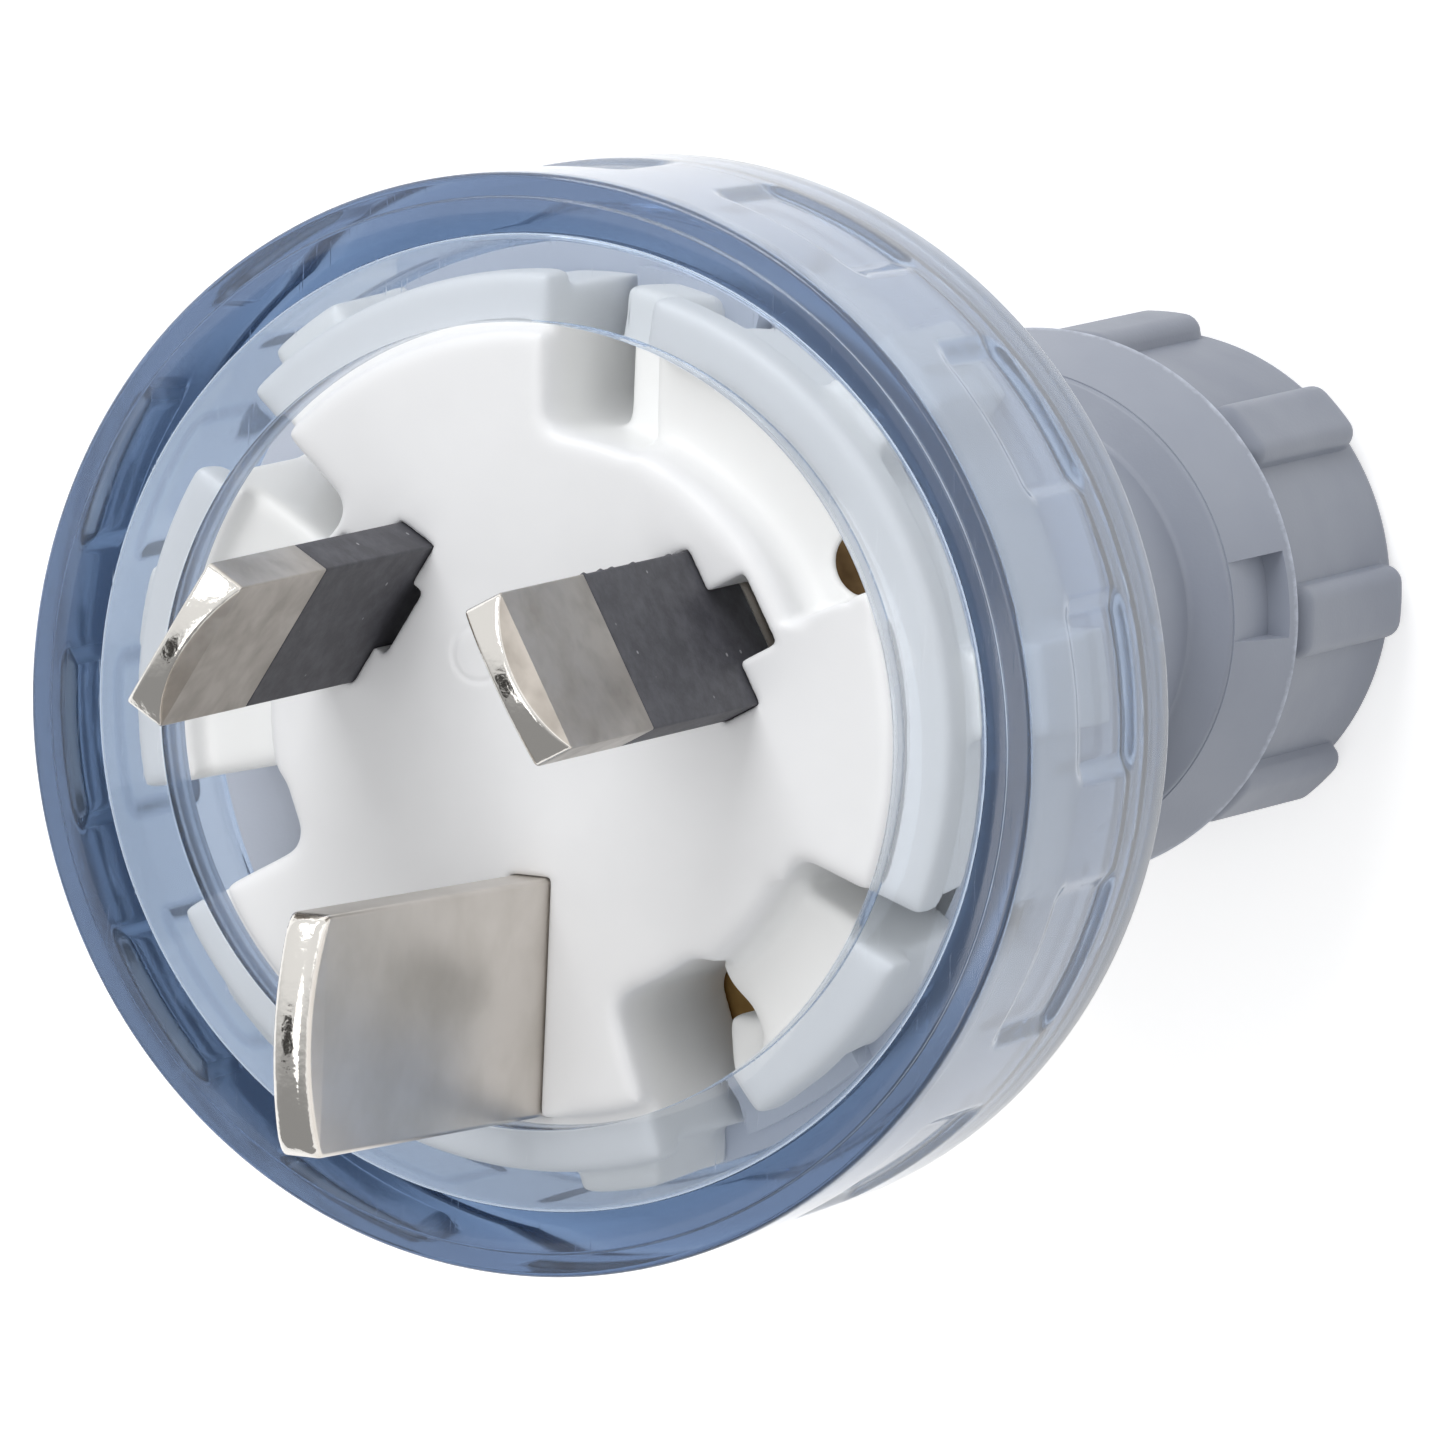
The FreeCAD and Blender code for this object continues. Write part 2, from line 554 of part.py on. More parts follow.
def rear_housing():
    """Return the grey bell with its neck, collar and threaded spigot."""
    rim_bottom = RIM_Z - RIM_THREAD_LENGTH
    bell_outer = ogee(BELL_RADIUS, BELL_TOP, NECK_RADIUS, NECK_TOP)
    bell_inner = ogee(RIM_INNER_RADIUS, BELL_TOP - BORE_DROP, NECK_BORE_RADIUS, NECK_TOP)
    collar_edge = rounded((COLLAR_REAR_RADIUS - COLLAR_EDGE_ROUND, COLLAR_BOTTOM + COLLAR_EDGE_ROUND),
                          COLLAR_EDGE_ROUND, 0, -90)
    outer = [(RIM_INNER_RADIUS, RIM_Z), (RIM_RADIUS, RIM_Z), (RIM_RADIUS, rim_bottom),
             (BELL_RADIUS, rim_bottom), bell_outer[0], bell_outer[1],
             (NECK_RADIUS, STEP_TOP), (COLLAR_FRONT_RADIUS, COLLAR_TOP),
             collar_edge, (NECK_RADIUS, COLLAR_BOTTOM), (NECK_RADIUS, SPIGOT_END)]
    inner = [(SPIGOT_BORE_RADIUS, SPIGOT_END), (SPIGOT_BORE_RADIUS, SEAT_Z),
             (NECK_BORE_RADIUS, SEAT_Z), bell_inner[1][::-1], bell_inner[0][::-1]]
    shell = spun(outer + inner)
    keys = [wedge(RIM_INNER_RADIUS, FLANGE_RADIUS, start, end, RIM_Z - OVERCUT, RIM_Z + KEY_HEIGHT)
            for start, end in KEY_SPANS]
    shell = fused([shell] + keys)
    return shell.cut([turned(latch_pocket(), angle) for angle in LATCH_ANGLES])


def gland_nut():
    """Return the gland nut with rounded grip ribs and a cord hole in its rear wall."""
    edge = rounded((NUT_CORE_RADIUS - NUT_EDGE_ROUND, NUT_EDGE_ROUND), NUT_EDGE_ROUND, -90, 0)
    core = spun([(0, 0), edge, (NUT_CORE_RADIUS, NUT_LENGTH), (0, NUT_LENGTH)])
    reach = NUT_CORE_RADIUS + NUT_RIB_REACH
    rib = block((NUT_BORE_RADIUS, reach), (-NUT_RIB_WIDTH / 2, NUT_RIB_WIDTH / 2),
                (NUT_EDGE_ROUND, NUT_LENGTH - NUT_RIB_FRONT_GAP))
    outer_edges = [edge for edge in rib.Edges if edge.BoundBox.XMin > reach - NEAR]
    rib = rib.makeFillet(min(NUT_RIB_ROUND, 0.9 * NUT_RIB_REACH), outer_edges)
    pitch = 360.0 / NUT_RIB_COUNT
    solid = fused([core] + [turned(rib, pitch * index) for index in range(NUT_RIB_COUNT)])
    bore = tube(NUT_BORE_RADIUS, NUT_REAR_WALL, NUT_LENGTH + OVERCUT)
    hole = tube(NUT_HOLE_RADIUS, -OVERCUT, NUT_REAR_WALL + OVERCUT)
    return solid.cut([bore, hole])


def slip_washer():
    """Return the flat washer that lets the nut turn on the clamp."""
    outer = tube(NUT_BORE_RADIUS - WASHER_CLEARANCE, NUT_REAR_WALL, CLAMP_BOTTOM)
    return outer.cut(tube(WASHER_INNER_RADIUS, NUT_REAR_WALL, CLAMP_BOTTOM))


def cord_clamp():
    """Return the slit ring that the washer drives against the grommet."""
    ring = tube(GRIP_OUTER_RADIUS, CLAMP_BOTTOM, CLAMP_TOP).cut(
        tube(GRIP_OUTER_RADIUS - CLAMP_WALL, CLAMP_BOTTOM, CLAMP_TOP))
    slit = block((0, GRIP_OUTER_RADIUS + OVERCUT), (-CLAMP_SLIT_WIDTH / 2, CLAMP_SLIT_WIDTH / 2),
                 (CLAMP_TOP - CLAMP_SLIT_DEPTH, CLAMP_TOP + OVERCUT))
    pitch = 360.0 / CLAMP_SLIT_COUNT
    return ring.cut([turned(slit, pitch * index) for index in range(CLAMP_SLIT_COUNT)])


def cord_grommet():
    """Return the rubber grommet between the clamp and the seat in the spigot."""
    return spun([(GROMMET_BORE_RADIUS + GROMMET_CHAMFER, CLAMP_TOP), (GRIP_OUTER_RADIUS, CLAMP_TOP),
                 (GRIP_OUTER_RADIUS, SEAT_Z - GROMMET_CHAMFER), (GRIP_OUTER_RADIUS - GROMMET_CHAMFER, SEAT_Z),
                 (GROMMET_BORE_RADIUS + GROMMET_CHAMFER, SEAT_Z),
                 (GROMMET_BORE_RADIUS, SEAT_Z - GROMMET_CHAMFER),
                 (GROMMET_BORE_RADIUS, CLAMP_TOP + GROMMET_CHAMFER)])


def build():
    """Return every sub-part of the plug by its node's name."""
    nodes = {
        "front_cover": front_cover(),
        "pin_carrier": pin_carrier(),
        "earth_pin": at_earth(earth_blade()),
        "earth_terminal": at_earth(terminal_block()),
        "earth_terminal_screw": at_earth(terminal_screw()),
        "pin_retainer": pin_retainer(),
        "retainer_screws": retainer_screws(),
        "rear_housing": rear_housing(),
        "cord_clamp": cord_clamp(),
        "cord_grommet": cord_grommet(),
        "slip_washer": slip_washer(),
        "gland_nut": gland_nut(),
    }
    for pole, angle in LINE_ANGLES.items():
        nodes[pole + "_pin"] = at_line(line_blade(), angle)
        nodes[pole + "_pin_sleeve"] = at_line(line_sleeve(), angle)
        nodes[pole + "_terminal"] = at_line(terminal_block(), angle)
        nodes[pole + "_terminal_screw"] = at_line(terminal_screw(), angle)
    return nodes


os.makedirs("parts", exist_ok=True)
for name, shape in build().items():
    shape.exportStep("parts/" + name + ".step")
    print(name, "valid" if shape.isValid() else "INVALID", len(shape.Solids), round(shape.Volume, 2))
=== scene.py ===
"""Dressed scene of a rewirable type I mains plug.

A clear ring cover clamps a white pin carrier with three plated blades on a grey bell housing,
whose collar carries a ribbed gland nut.

All sizes are millimetres in the frame of the solids: the origin is the centre of the nut's rear
face, +Z runs along the axis towards the pins, and the earth blade lies on the -Y side.
A mesh is turned to metres when it is made.
"""
import logging
from dataclasses import dataclass
from enum import Enum
from typing import Any, Callable, Sequence

import bmesh
import bpy
import numpy as np
from mathutils import Matrix, Vector

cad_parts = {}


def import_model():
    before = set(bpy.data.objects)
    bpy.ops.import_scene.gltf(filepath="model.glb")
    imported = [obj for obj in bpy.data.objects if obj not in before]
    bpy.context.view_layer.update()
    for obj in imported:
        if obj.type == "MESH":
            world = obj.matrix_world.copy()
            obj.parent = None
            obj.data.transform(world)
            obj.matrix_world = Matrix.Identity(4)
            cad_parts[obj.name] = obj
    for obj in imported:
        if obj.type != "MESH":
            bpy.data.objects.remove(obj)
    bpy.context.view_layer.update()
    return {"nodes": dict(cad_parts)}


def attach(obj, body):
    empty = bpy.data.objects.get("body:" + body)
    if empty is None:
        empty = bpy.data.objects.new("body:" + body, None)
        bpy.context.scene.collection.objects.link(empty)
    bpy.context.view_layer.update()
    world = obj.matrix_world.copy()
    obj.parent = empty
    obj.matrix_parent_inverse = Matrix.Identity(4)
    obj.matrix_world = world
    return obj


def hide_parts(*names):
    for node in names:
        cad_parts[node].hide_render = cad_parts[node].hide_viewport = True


LOG = logging.getLogger("plug")
MM = 0.001
TURN = 2.0 * np.pi

# Levels along the axis that several pieces share.
FACE = 57.5
RIM = 48.0
FLANGE_TOP = 56.4

# Share of a thread's pitch that each flank takes up.
FLANK = 0.12

# Two lengths closer than this are the same.
TINY = 1e-6

# Sockets of the colour Mix node, which has three inputs of each name.
MIX_A, MIX_B, MIX_RESULT = 6, 7, 2

Array = np.ndarray
Mesh, Object, Material = bpy.types.Mesh, bpy.types.Object, bpy.types.Material
Tree, Socket = bpy.types.NodeTree, bpy.types.NodeSocket


class Place(Enum):
    """Bodies of the frame that the new pieces ride on."""

    HOUSING = "housing"
    CARRIER = "carrier"
    COVER = "cover"
    NUT = "nut"


class Pole(Enum):
    """The three blades, with the angle of each about the axis in degrees."""

    ACTIVE = 30.0
    NEUTRAL = 150.0
    EARTH = -90.0


# ---- Outlines and grids ----


def rounded(corners: Sequence[Sequence[float]], radii: Sequence[float], steps: int = 6) -> Array:
    """Replace each corner of a closed outline by an arc.

    An arc starts r / tan(a / 2) before its corner, a being the angle between the two sides, and
    its centre lies r / sin(a / 2) from the corner on the line that halves the angle.

    Args:
        corners: Corner points in order.
        radii: Radius at each corner, 0 for a sharp one.
        steps: Points on each arc.

    Returns:
        The outline's points, an array of shape (n, 2).
    """
    corner = np.asarray(corners, float)
    radius = np.asarray(radii, float)[:, None]
    before = np.roll(corner, 1, axis=0) - corner
    after = np.roll(corner, -1, axis=0) - corner
    before /= np.linalg.norm(before, axis=1, keepdims=True)
    after /= np.linalg.norm(after, axis=1, keepdims=True)
    half = 0.5 * np.arccos(np.clip((before * after).sum(1, keepdims=True), -1.0, 1.0))
    middle = before + after
    middle /= np.maximum(np.linalg.norm(middle, axis=1, keepdims=True), 1e-9)
    centre = corner + middle * radius / np.sin(half)
    start = corner + before * radius / np.tan(half) - centre
    end = corner + after * radius / np.tan(half) - centre
    first = np.arctan2(start[:, 1], start[:, 0])[:, None]
    sweep = (np.arctan2(end[:, 1], end[:, 0])[:, None] - first + np.pi) % TURN - np.pi
    angle = first + sweep * np.linspace(0.0, 1.0, steps)
    arcs = centre[:, None] + radius[:, None] * np.stack([np.cos(angle), np.sin(angle)], -1)
    return distinct(arcs.reshape(-1, 2))


def distinct(outline: Array) -> Array:
    """Drop the points of a closed outline that repeat the one before."""
    gap = np.linalg.norm(outline - np.roll(outline, 1, axis=0), axis=1)
    return outline[gap > TINY]


def spaced(outline: Array, step: float) -> Array:
    """Add points to a closed outline until no two neighbours are further apart than the step."""
    ring = np.vstack([outline, outline[:1]])
    side = np.diff(ring, axis=0)
    count = np.maximum(np.ceil(np.linalg.norm(side, axis=1) / step - TINY), 1).astype(int)
    index = np.repeat(np.arange(len(count)), count)
    order = np.arange(len(index)) - np.repeat(np.cumsum(count) - count, count)
    return ring[index] + side[index] * (order / count[index])[:, None]


def marked_lines(low: float, high: float, step: float, marks: Array) -> Array:
    """Even lines between two ends, with lines at the marks in the place of those close by.

    Args:
        low: First line.
        high: Last line.
        step: Widest gap between even lines.
        marks: Positions that need a line of their own.

    Returns:
        The sorted positions.
    """
    inside = marks[(marks >= low) & (marks <= high)]
    even = np.linspace(low, high, int(np.ceil((high - low) / step)) + 1)
    near = np.abs(even[:, None] - inside[None, :]) < 0.4 * step
    lines = np.sort(np.concatenate([even[~near.any(axis=1)], inside, [low, high]]))
    return lines[np.concatenate([[True], np.diff(lines) > TINY])]


def both_sides(edges: Array, offsets: Sequence[float], inward: Array) -> Array:
    """Marks at each edge and at offsets from it, along the inward direction of +1 or -1."""
    return (edges[:, None] + inward[:, None] * np.asarray(offsets)[None, :]).ravel()


def polar(radius: Array, height: Array, angle: Array) -> Array:
    """Points at x = r cos t, y = r sin t, z = h, with the three arrays broadcast together."""
    radius, height, angle = np.broadcast_arrays(radius, height, angle)
    return np.stack([radius * np.cos(angle), radius * np.sin(angle), height], -1)


def eased(share: Array) -> Array:
    """A smooth step from 0 to 1: s * s * (3 - 2 s), with s held between 0 and 1."""
    share = np.clip(share, 0.0, 1.0)
    return share * share * (3.0 - 2.0 * share)


def swept(outline: Array, angle: Array) -> tuple[Array, Array]:
    """Radius and height of an outline's points at every angle, each of shape (points, angles)."""
    return outline[:, :1] + 0.0 * angle, outline[:, 1:] + 0.0 * angle


def thread_depth(height: Array, angle: Array, lead: float, starts: int, flat: float) -> Array:
    """How far a right-hand thread's flank is up, from 0 in the groove to 1 on the ridge.

    The phase is (z - lead * angle / turn) * starts / lead, so the pattern maps onto itself when
    the piece turns once and rises by the lead. The flank is a smooth step of the phase.

    Args:
        height: Heights of the points.
        angle: Angles of the points.
        lead: Rise in one turn.
        starts: Number of ridges side by side.
        flat: Share of the pitch that the ridge takes up.

    Returns:
        The height of the thread at each point, from 0 to 1.
    """
    phase = ((height - lead * angle / TURN) * starts / lead) % 1.0
    return eased((0.5 * flat + FLANK - np.abs(phase - 0.5)) / FLANK)


def faded(value: Array, low: float, high: float, run: float) -> Array:
    """A window that rises from 0 at the low end to 1 over a run, and falls at the high end."""
    rise = np.clip((value - low) / run, 0.0, 1.0) * np.clip((high - value) / run, 0.0, 1.0)
    return eased(rise)


class Shell:
    """Points and faces in millimetres, gathered until the piece's mesh is made."""

    def __init__(self) -> None:
        """Start with nothing."""
        self.points: list[Array] = []
        self.faces: list[list[int]] = []
        self.values: list[Array] = []
        self.sharp: list[tuple[int, int]] = []
        self.count = 0

    def grid(self, points: Array, wrap_rows: bool = True, values: Array | None = None) -> Array:
        """Add a grid of quads that closes along its columns, and along its rows if asked.

        Args:
            points: Array of shape (rows, columns, 3).
            wrap_rows: Whether the last row joins the first.
            values: Painted value of each point, 0 where none are given.

        Returns:
            The index of each point.
        """
        rows, columns = points.shape[:2]
        index = np.arange(rows * columns).reshape(rows, columns) + self.count
        closed = np.hstack([index, index[:, :1]])
        if wrap_rows:
            closed = np.vstack([closed, closed[:1]])
        quads = np.stack([closed[:-1, :-1], closed[:-1, 1:], closed[1:, 1:], closed[1:, :-1]], -1)
        self.faces.extend(quads.reshape(-1, 4).tolist())
        self.points.append(points.reshape(-1, 3))
        self.values.append(np.zeros(rows * columns) if values is None else
                           np.broadcast_to(values, (rows, columns)).ravel())
        self.count += rows * columns
        return index

    def mesh(self, name: str) -> Mesh:
        """The points and faces as a mesh in metres."""
        mesh = bpy.data.meshes.new(name)
        mesh.from_pydata((np.concatenate(self.points) * MM).tolist(), [], self.faces)
        return mesh

    def make(self, name: str, sharp_degrees: float = 38.0) -> Object:
        """Make the object in metres, with smooth faces, sharp edges and outward normals.

        Args:
            name: Name of the piece.
            sharp_degrees: Edges that bend by more than this stay sharp.

        Returns:
            The new object, linked to the scene.
        """
        mesh = self.mesh(name)
        paint = mesh.attributes.new("paint", "FLOAT", "POINT")
        paint.data.foreach_set("value", np.concatenate(self.values).astype(np.float32))
        mesh.update()
        return finished(mesh, name, sharp_degrees, self.sharp)


def linked(name: str, data: Any) -> Object:
    """Make an object of a mesh, lamp or camera, and link it to the scene."""
    thing = bpy.data.objects.new(name, data)
    bpy.context.scene.collection.objects.link(thing)
    return thing


def finished(mesh: Mesh, name: str, sharp_degrees: float,
             sharp: Sequence[tuple[int, int]] = ()) -> Object:
    """Give a mesh smooth shading that stays flat on its flats, and link it as an object.

    Args:
        mesh: The mesh in metres.
        name: Name of the piece.
        sharp_degrees: Edges that bend by more than this stay sharp.
        sharp: More edges that stay sharp, as pairs of points.

    Returns:
        The new object.
    """
    mesh.shade_smooth()
    mesh.set_sharp_from_angle(angle=np.radians(sharp_degrees))
    if sharp:
        ends = np.zeros(2 * len(mesh.edges), np.int32)
        mesh.edges.foreach_get("vertices", ends)
        ends = np.sort(ends.reshape(-1, 2), axis=1)
        wanted = np.sort(np.asarray(sharp), axis=1)
        hit = (ends[:, None, :] == wanted[None, :, :]).all(-1).any(-1)
        flags = mesh.attributes["sharp_edge"].data
        held = np.zeros(len(flags), bool)
        flags.foreach_get("value", held)
        flags.foreach_set("value", held | hit)
    piece = linked(name, mesh)
    weight = piece.modifiers.new("flat_normals", "WEIGHTED_NORMAL")
    weight.keep_sharp = True
    weight.weight = 80
    return piece


def installed(piece: Object, place: Place, slot: str, material: Material, *nodes: str) -> Object:
    """Dress a piece and hang it on its body in the place of the solids' nodes.

    Args:
        piece: The piece.
        place: The body that it rides on.
        slot: The record's material slot, not used.
        material: Its finish.
        *nodes: Nodes that it stands for.

    Returns:
        The piece.
    """
    piece.data.materials.clear()
    piece.data.materials.append(material)
    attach(piece, place.value)
    if nodes:
        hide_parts(*nodes)
    LOG.info("%s: %d faces on %s", piece.name, len(piece.data.polygons), place.value)
    return piece


# ---- Finishes ----


def linear(colour: str) -> tuple[float, float, float, float]:
    """Turn an sRGB hex colour into linear values: ((c + 0.055) / 1.055) ** 2.4 above the toe."""
    value = np.array([int(colour[i:i + 2], 16) / 255.0 for i in (1, 3, 5)])
    lifted = np.where(value <= 0.04045, value / 12.92, ((value + 0.055) / 1.055) ** 2.4)
    return (*lifted.tolist(), 1.0)


def per_mm(size: float) -> float:
    """Scale of a pattern on Object coordinates, in metres, whose features are this many mm."""
    return 1.0 / (size * MM)


def fill(tree: Tree, node: bpy.types.Node, sockets: dict[Any, Any]) -> None:
    """Set a node's inputs, by name or index, to values, or link them to output sockets."""
    for key, value in sockets.items():
        if isinstance(value, Socket):
            tree.links.new(value, node.inputs[key])
        else:
            node.inputs[key].default_value = value


def add(tree: Tree, kind: str, sockets: dict[Any, Any] | None = None, out: str | int = 0,
        **settings: Any) -> Socket | None:
    """Add a node with its settings, values and links.

    Args:
        tree: The node tree.
        kind: The node's type name after ShaderNode.
        sockets: Values, or output sockets to link, by the input's name or index.
        out: Name or index of the output that is wanted.
        **settings: Properties of the node itself.

    Returns:
        That output's socket, or None for a node that has no outputs.
    """
    node = tree.nodes.new("ShaderNode" + kind)
    for key, value in settings.items():
        setattr(node, key, value)
    fill(tree, node, sockets or {})
    return node.outputs[out] if node.outputs else None


def tinted(tree: Tree, value: Socket, span: tuple[float, float], under: Socket | str, over: str,
           most: float = 1.0) -> Socket:
    """Turn one colour into another while a value crosses a span.

    The second colour's share is most * (value - start) / (end - start), held at both ends.

    Args:
        tree: The node tree.
        value: What the share follows.
        span: The value where the share is 0, and the value where it is largest.
        under: First colour, as a socket or in hex.
        over: Second colour in hex.
        most: The second colour's largest share.

    Returns:
        The mixed colour.
    """
    share = add(tree, "MapRange", {"Value": value, "From Min": span[0], "From Max": span[1],
                                   "To Max": most})
    under = linear(under) if isinstance(under, str) else under
    return add(tree, "Mix", {0: share, MIX_A: under, MIX_B: linear(over)}, MIX_RESULT,
               data_type="RGBA")


@dataclass(frozen=True)
class Finish:
    """What every finish shares: a material with one Principled shader on Object coordinates."""

    title: str
    roughness: float

    def make(self) -> Material:
        """Make the material and fill its shader's sockets."""
        material = bpy.data.materials.new(self.title)
        material.use_nodes = True
        tree = material.node_tree
        where = add(tree, "TexCoord", out="Object")
        paint = add(tree, "Attribute", out="Fac", attribute_name="paint")
        fill(tree, tree.nodes["Principled BSDF"], self.sockets(tree, where, paint))
        return material

    def sockets(self, tree: Tree, where: Socket, paint: Socket) -> dict[str, Any]:
        """Add the finish's nodes.

        Args:
            tree: The material's node tree.
            where: Object coordinates.
            paint: The mesh's painted value.

        Returns:
            What goes into the shader's sockets, by their names.
        """
        raise NotImplementedError


@dataclass(frozen=True)
class MouldedPlastic(Finish):
    """Opaque moulded plastic: satin skin from a spark-eroded mould, faint clouds, paler edges.

    The skin's grain breaks up the gloss, the clouds are flow marks of the melt, and painted
    places turn paler in a rubbed pattern: worn edges, and on the housing's rim a painted sheen
    that stands in for light on it. A painted shade, where there is one, comes in from half a
    millimetre under the carrier's face and darkens its recesses.
    """

    colour: str
    cloud_colour: str
    # Paler colour for painted places: worn edges, and a painted sheen on the housing's rim.
    wear_and_sheen_colour: str
    grain_mm: float = 0.12
    grain_height_mm: float = 0.004
    cloud_mm: float = 6.0
    cloud_gloss: float = 0.05
    rub_mm: float = 0.5
    # Painted shade for the carrier's recesses, none if empty.
    recess_shade_colour: str = ""
    ior: float = 1.5

    def sockets(self, tree: Tree, where: Socket, paint: Socket) -> dict[str, Any]:
        """Add clouds, painted recess shade, wear and painted sheen, and grain, as in Finish."""
        cloud, rub, grain = (
            add(tree, "TexNoise", {"Vector": where, "Scale": per_mm(size), "Detail": detail,
                                   "Roughness": rough})
            for size, detail, rough in ((self.cloud_mm, 3.0, 0.55), (self.rub_mm, 4.0, 0.7),
                                        (self.grain_mm, 2.0, 0.6)))
        colour = tinted(tree, cloud, (0.35, 0.65), self.colour, self.cloud_colour)
        # Painted shade: darker from half a millimetre under the carrier's face, down in its
        # recesses.
        if self.recess_shade_colour:
            height = add(tree, "SeparateXYZ", {"Vector": where}, "Z")
            colour = tinted(tree, height, ((FACE - 0.5) * MM, (FACE - 2.2) * MM), colour,
                            self.recess_shade_colour)
        # Share of the paler colour: wear on edges, and on the housing's rim a painted sheen.
        worn = add(tree, "Math", {0: paint, 1: rub}, operation="MULTIPLY")
        gloss = add(tree, "MapRange", {"Value": cloud, "From Min": 0.3, "From Max": 0.7,
                                       "To Min": self.roughness - self.cloud_gloss,
                                       "To Max": self.roughness + self.cloud_gloss})
        bump = add(tree, "Bump", {"Height": grain, "Strength": 1.0,
                                  "Distance": self.grain_height_mm * MM})
        return {"Base Color": tinted(tree, worn, (0.25, 0.6), colour, self.wear_and_sheen_colour),
                "Roughness": gloss, "Normal": bump, "IOR": self.ior}


@dataclass(frozen=True)
class ClearPolycarbonate(Finish):
    """Clear moulded polycarbonate with a blue tint that deepens with the length of the path.

    The face is glossy, with hairline scratches from handling and a faint waviness of the mould.
    Painted surfaces, the sides and the thread, are hazier and scatter some light.
    """

    haze: float = 0.08
    haze_from: float = 0.3
    haze_colour: str = "#bccade"
    ior: float = 1.585
    tint: str = "#3b8bbd"
    density_per_m: float = 122.0
    scatter: float = 0.3
    scratch_mm: float = 0.035
    scratch_length_mm: float = 0.8
    scratch_depth_mm: float = 0.001
    scratch_haze: float = 0.16
    scratch_turns: tuple[float, ...] = (0.4, 1.5, 2.6)
    wave_mm: float = 2.5
    wave_height_mm: float = 0.006

    def sockets(self, tree: Tree, where: Socket, paint: Socket) -> dict[str, Any]:
        """Add haze, hairlines in several directions, waviness and the blue depth, as in Finish."""
        clear = add(tree, "MapRange", {"Value": paint, "To Min": 1.0, "To Max": 1.0 - self.scatter})
        scratch = 0.0
        for turn in self.scratch_turns:
            placed = add(tree, "Mapping", {
                "Vector": where, "Rotation": (0.0, 0.0, turn),
                "Scale": (per_mm(self.scratch_mm), per_mm(self.scratch_length_mm),
                          per_mm(self.scratch_length_mm))})
            streak = add(tree, "TexNoise", {"Vector": placed, "Scale": 0.35, "Detail": 1.0})
            line = add(tree, "MapRange", {"Value": streak, "From Min": 0.71, "From Max": 0.79})
            scratch = add(tree, "Math", {0: line, 1: scratch}, operation="MAXIMUM")
        hazy = add(tree, "MapRange", {"Value": paint, "From Max": self.haze_from,
                                      "To Min": self.roughness,
                                      "To Max": self.roughness + self.haze})
        rough = add(tree, "MapRange", {"Value": scratch, "To Min": hazy,
                                       "To Max": self.roughness + self.scratch_haze})
        wave = add(tree, "TexNoise", {"Vector": where, "Scale": per_mm(self.wave_mm),
                                      "Detail": 1.0})
        gentle = add(tree, "Bump", {"Height": wave, "Strength": 1.0,
                                    "Distance": self.wave_height_mm * MM})
        cut = add(tree, "Bump", {"Height": scratch, "Strength": 1.0, "Normal": gentle,
                                 "Distance": self.scratch_depth_mm * MM}, invert=True)
        body = add(tree, "VolumeAbsorption", {"Color": linear(self.tint),
                                              "Density": self.density_per_m})
        fill(tree, tree.nodes["Material Output"], {"Volume": body})
        return {"Base Color": tinted(tree, paint, (0.0, self.haze_from), "#ffffff",
                                     self.haze_colour),
                "Transmission Weight": clear, "Roughness": rough, "Normal": cut, "IOR": self.ior}


@dataclass(frozen=True)
class Metal(Finish):
    """Metal with fine tool lines, cloudy stains, and a bright dented polish where it is painted.

    The lines come from rolling or machining, the clouds from handling and thin oxide.
    """

    colour: str
    stain_colour: str
    polished_colour: str = "#dedbd6"
    polished_roughness: float = 0.12
    line_mm: float = 0.04
    line_length_mm: float = 2.0
    line_height_mm: float = 0.0015
    dent_mm: float = 0.45
    dent_height_mm: float = 0.03
    cloud_mm: float = 1.6
    cloud_gloss: float = 0.05

    def sockets(self, tree: Tree, where: Socket, paint: Socket) -> dict[str, Any]:
        """Add stains, polish, dents and tool lines, as in Finish."""
        cloud = add(tree, "TexNoise", {"Vector": where, "Scale": per_mm(self.cloud_mm),
                                       "Detail": 3.0, "Roughness": 0.5, "Distortion": 0.2})
        colour = tinted(tree, cloud, (0.38, 0.68), self.colour, self.stain_colour)
        gloss = add(tree, "MapRange", {"Value": cloud, "From Min": 0.3, "From Max": 0.7,
                                       "To Min": self.roughness - self.cloud_gloss,
                                       "To Max": self.roughness + self.cloud_gloss})
        smooth = add(tree, "MapRange", {"Value": paint, "To Min": gloss,
                                        "To Max": self.polished_roughness})
        dents = add(tree, "TexNoise", {"Vector": where, "Scale": per_mm(self.dent_mm),
                                       "Detail": 2.0})
        hollow = add(tree, "Math", {0: dents, 1: paint}, operation="MULTIPLY")
        dented = add(tree, "Bump", {"Height": hollow, "Strength": 1.0,
                                    "Distance": self.dent_height_mm * MM})
        placed = add(tree, "Mapping", {
            "Vector": where, "Scale": (per_mm(self.line_mm), per_mm(self.line_mm),
                                       per_mm(self.line_length_mm))})
        lines = add(tree, "TexNoise", {"Vector": placed, "Scale": 1.0, "Detail": 2.0})
        lined = add(tree, "Bump", {"Height": lines, "Strength": 1.0, "Normal": dented,
                                   "Distance": self.line_height_mm * MM})
        return {"Base Color": tinted(tree, paint, (0.0, 1.0), colour, self.polished_colour),
                "Metallic": 1.0, "Roughness": smooth, "Normal": lined}


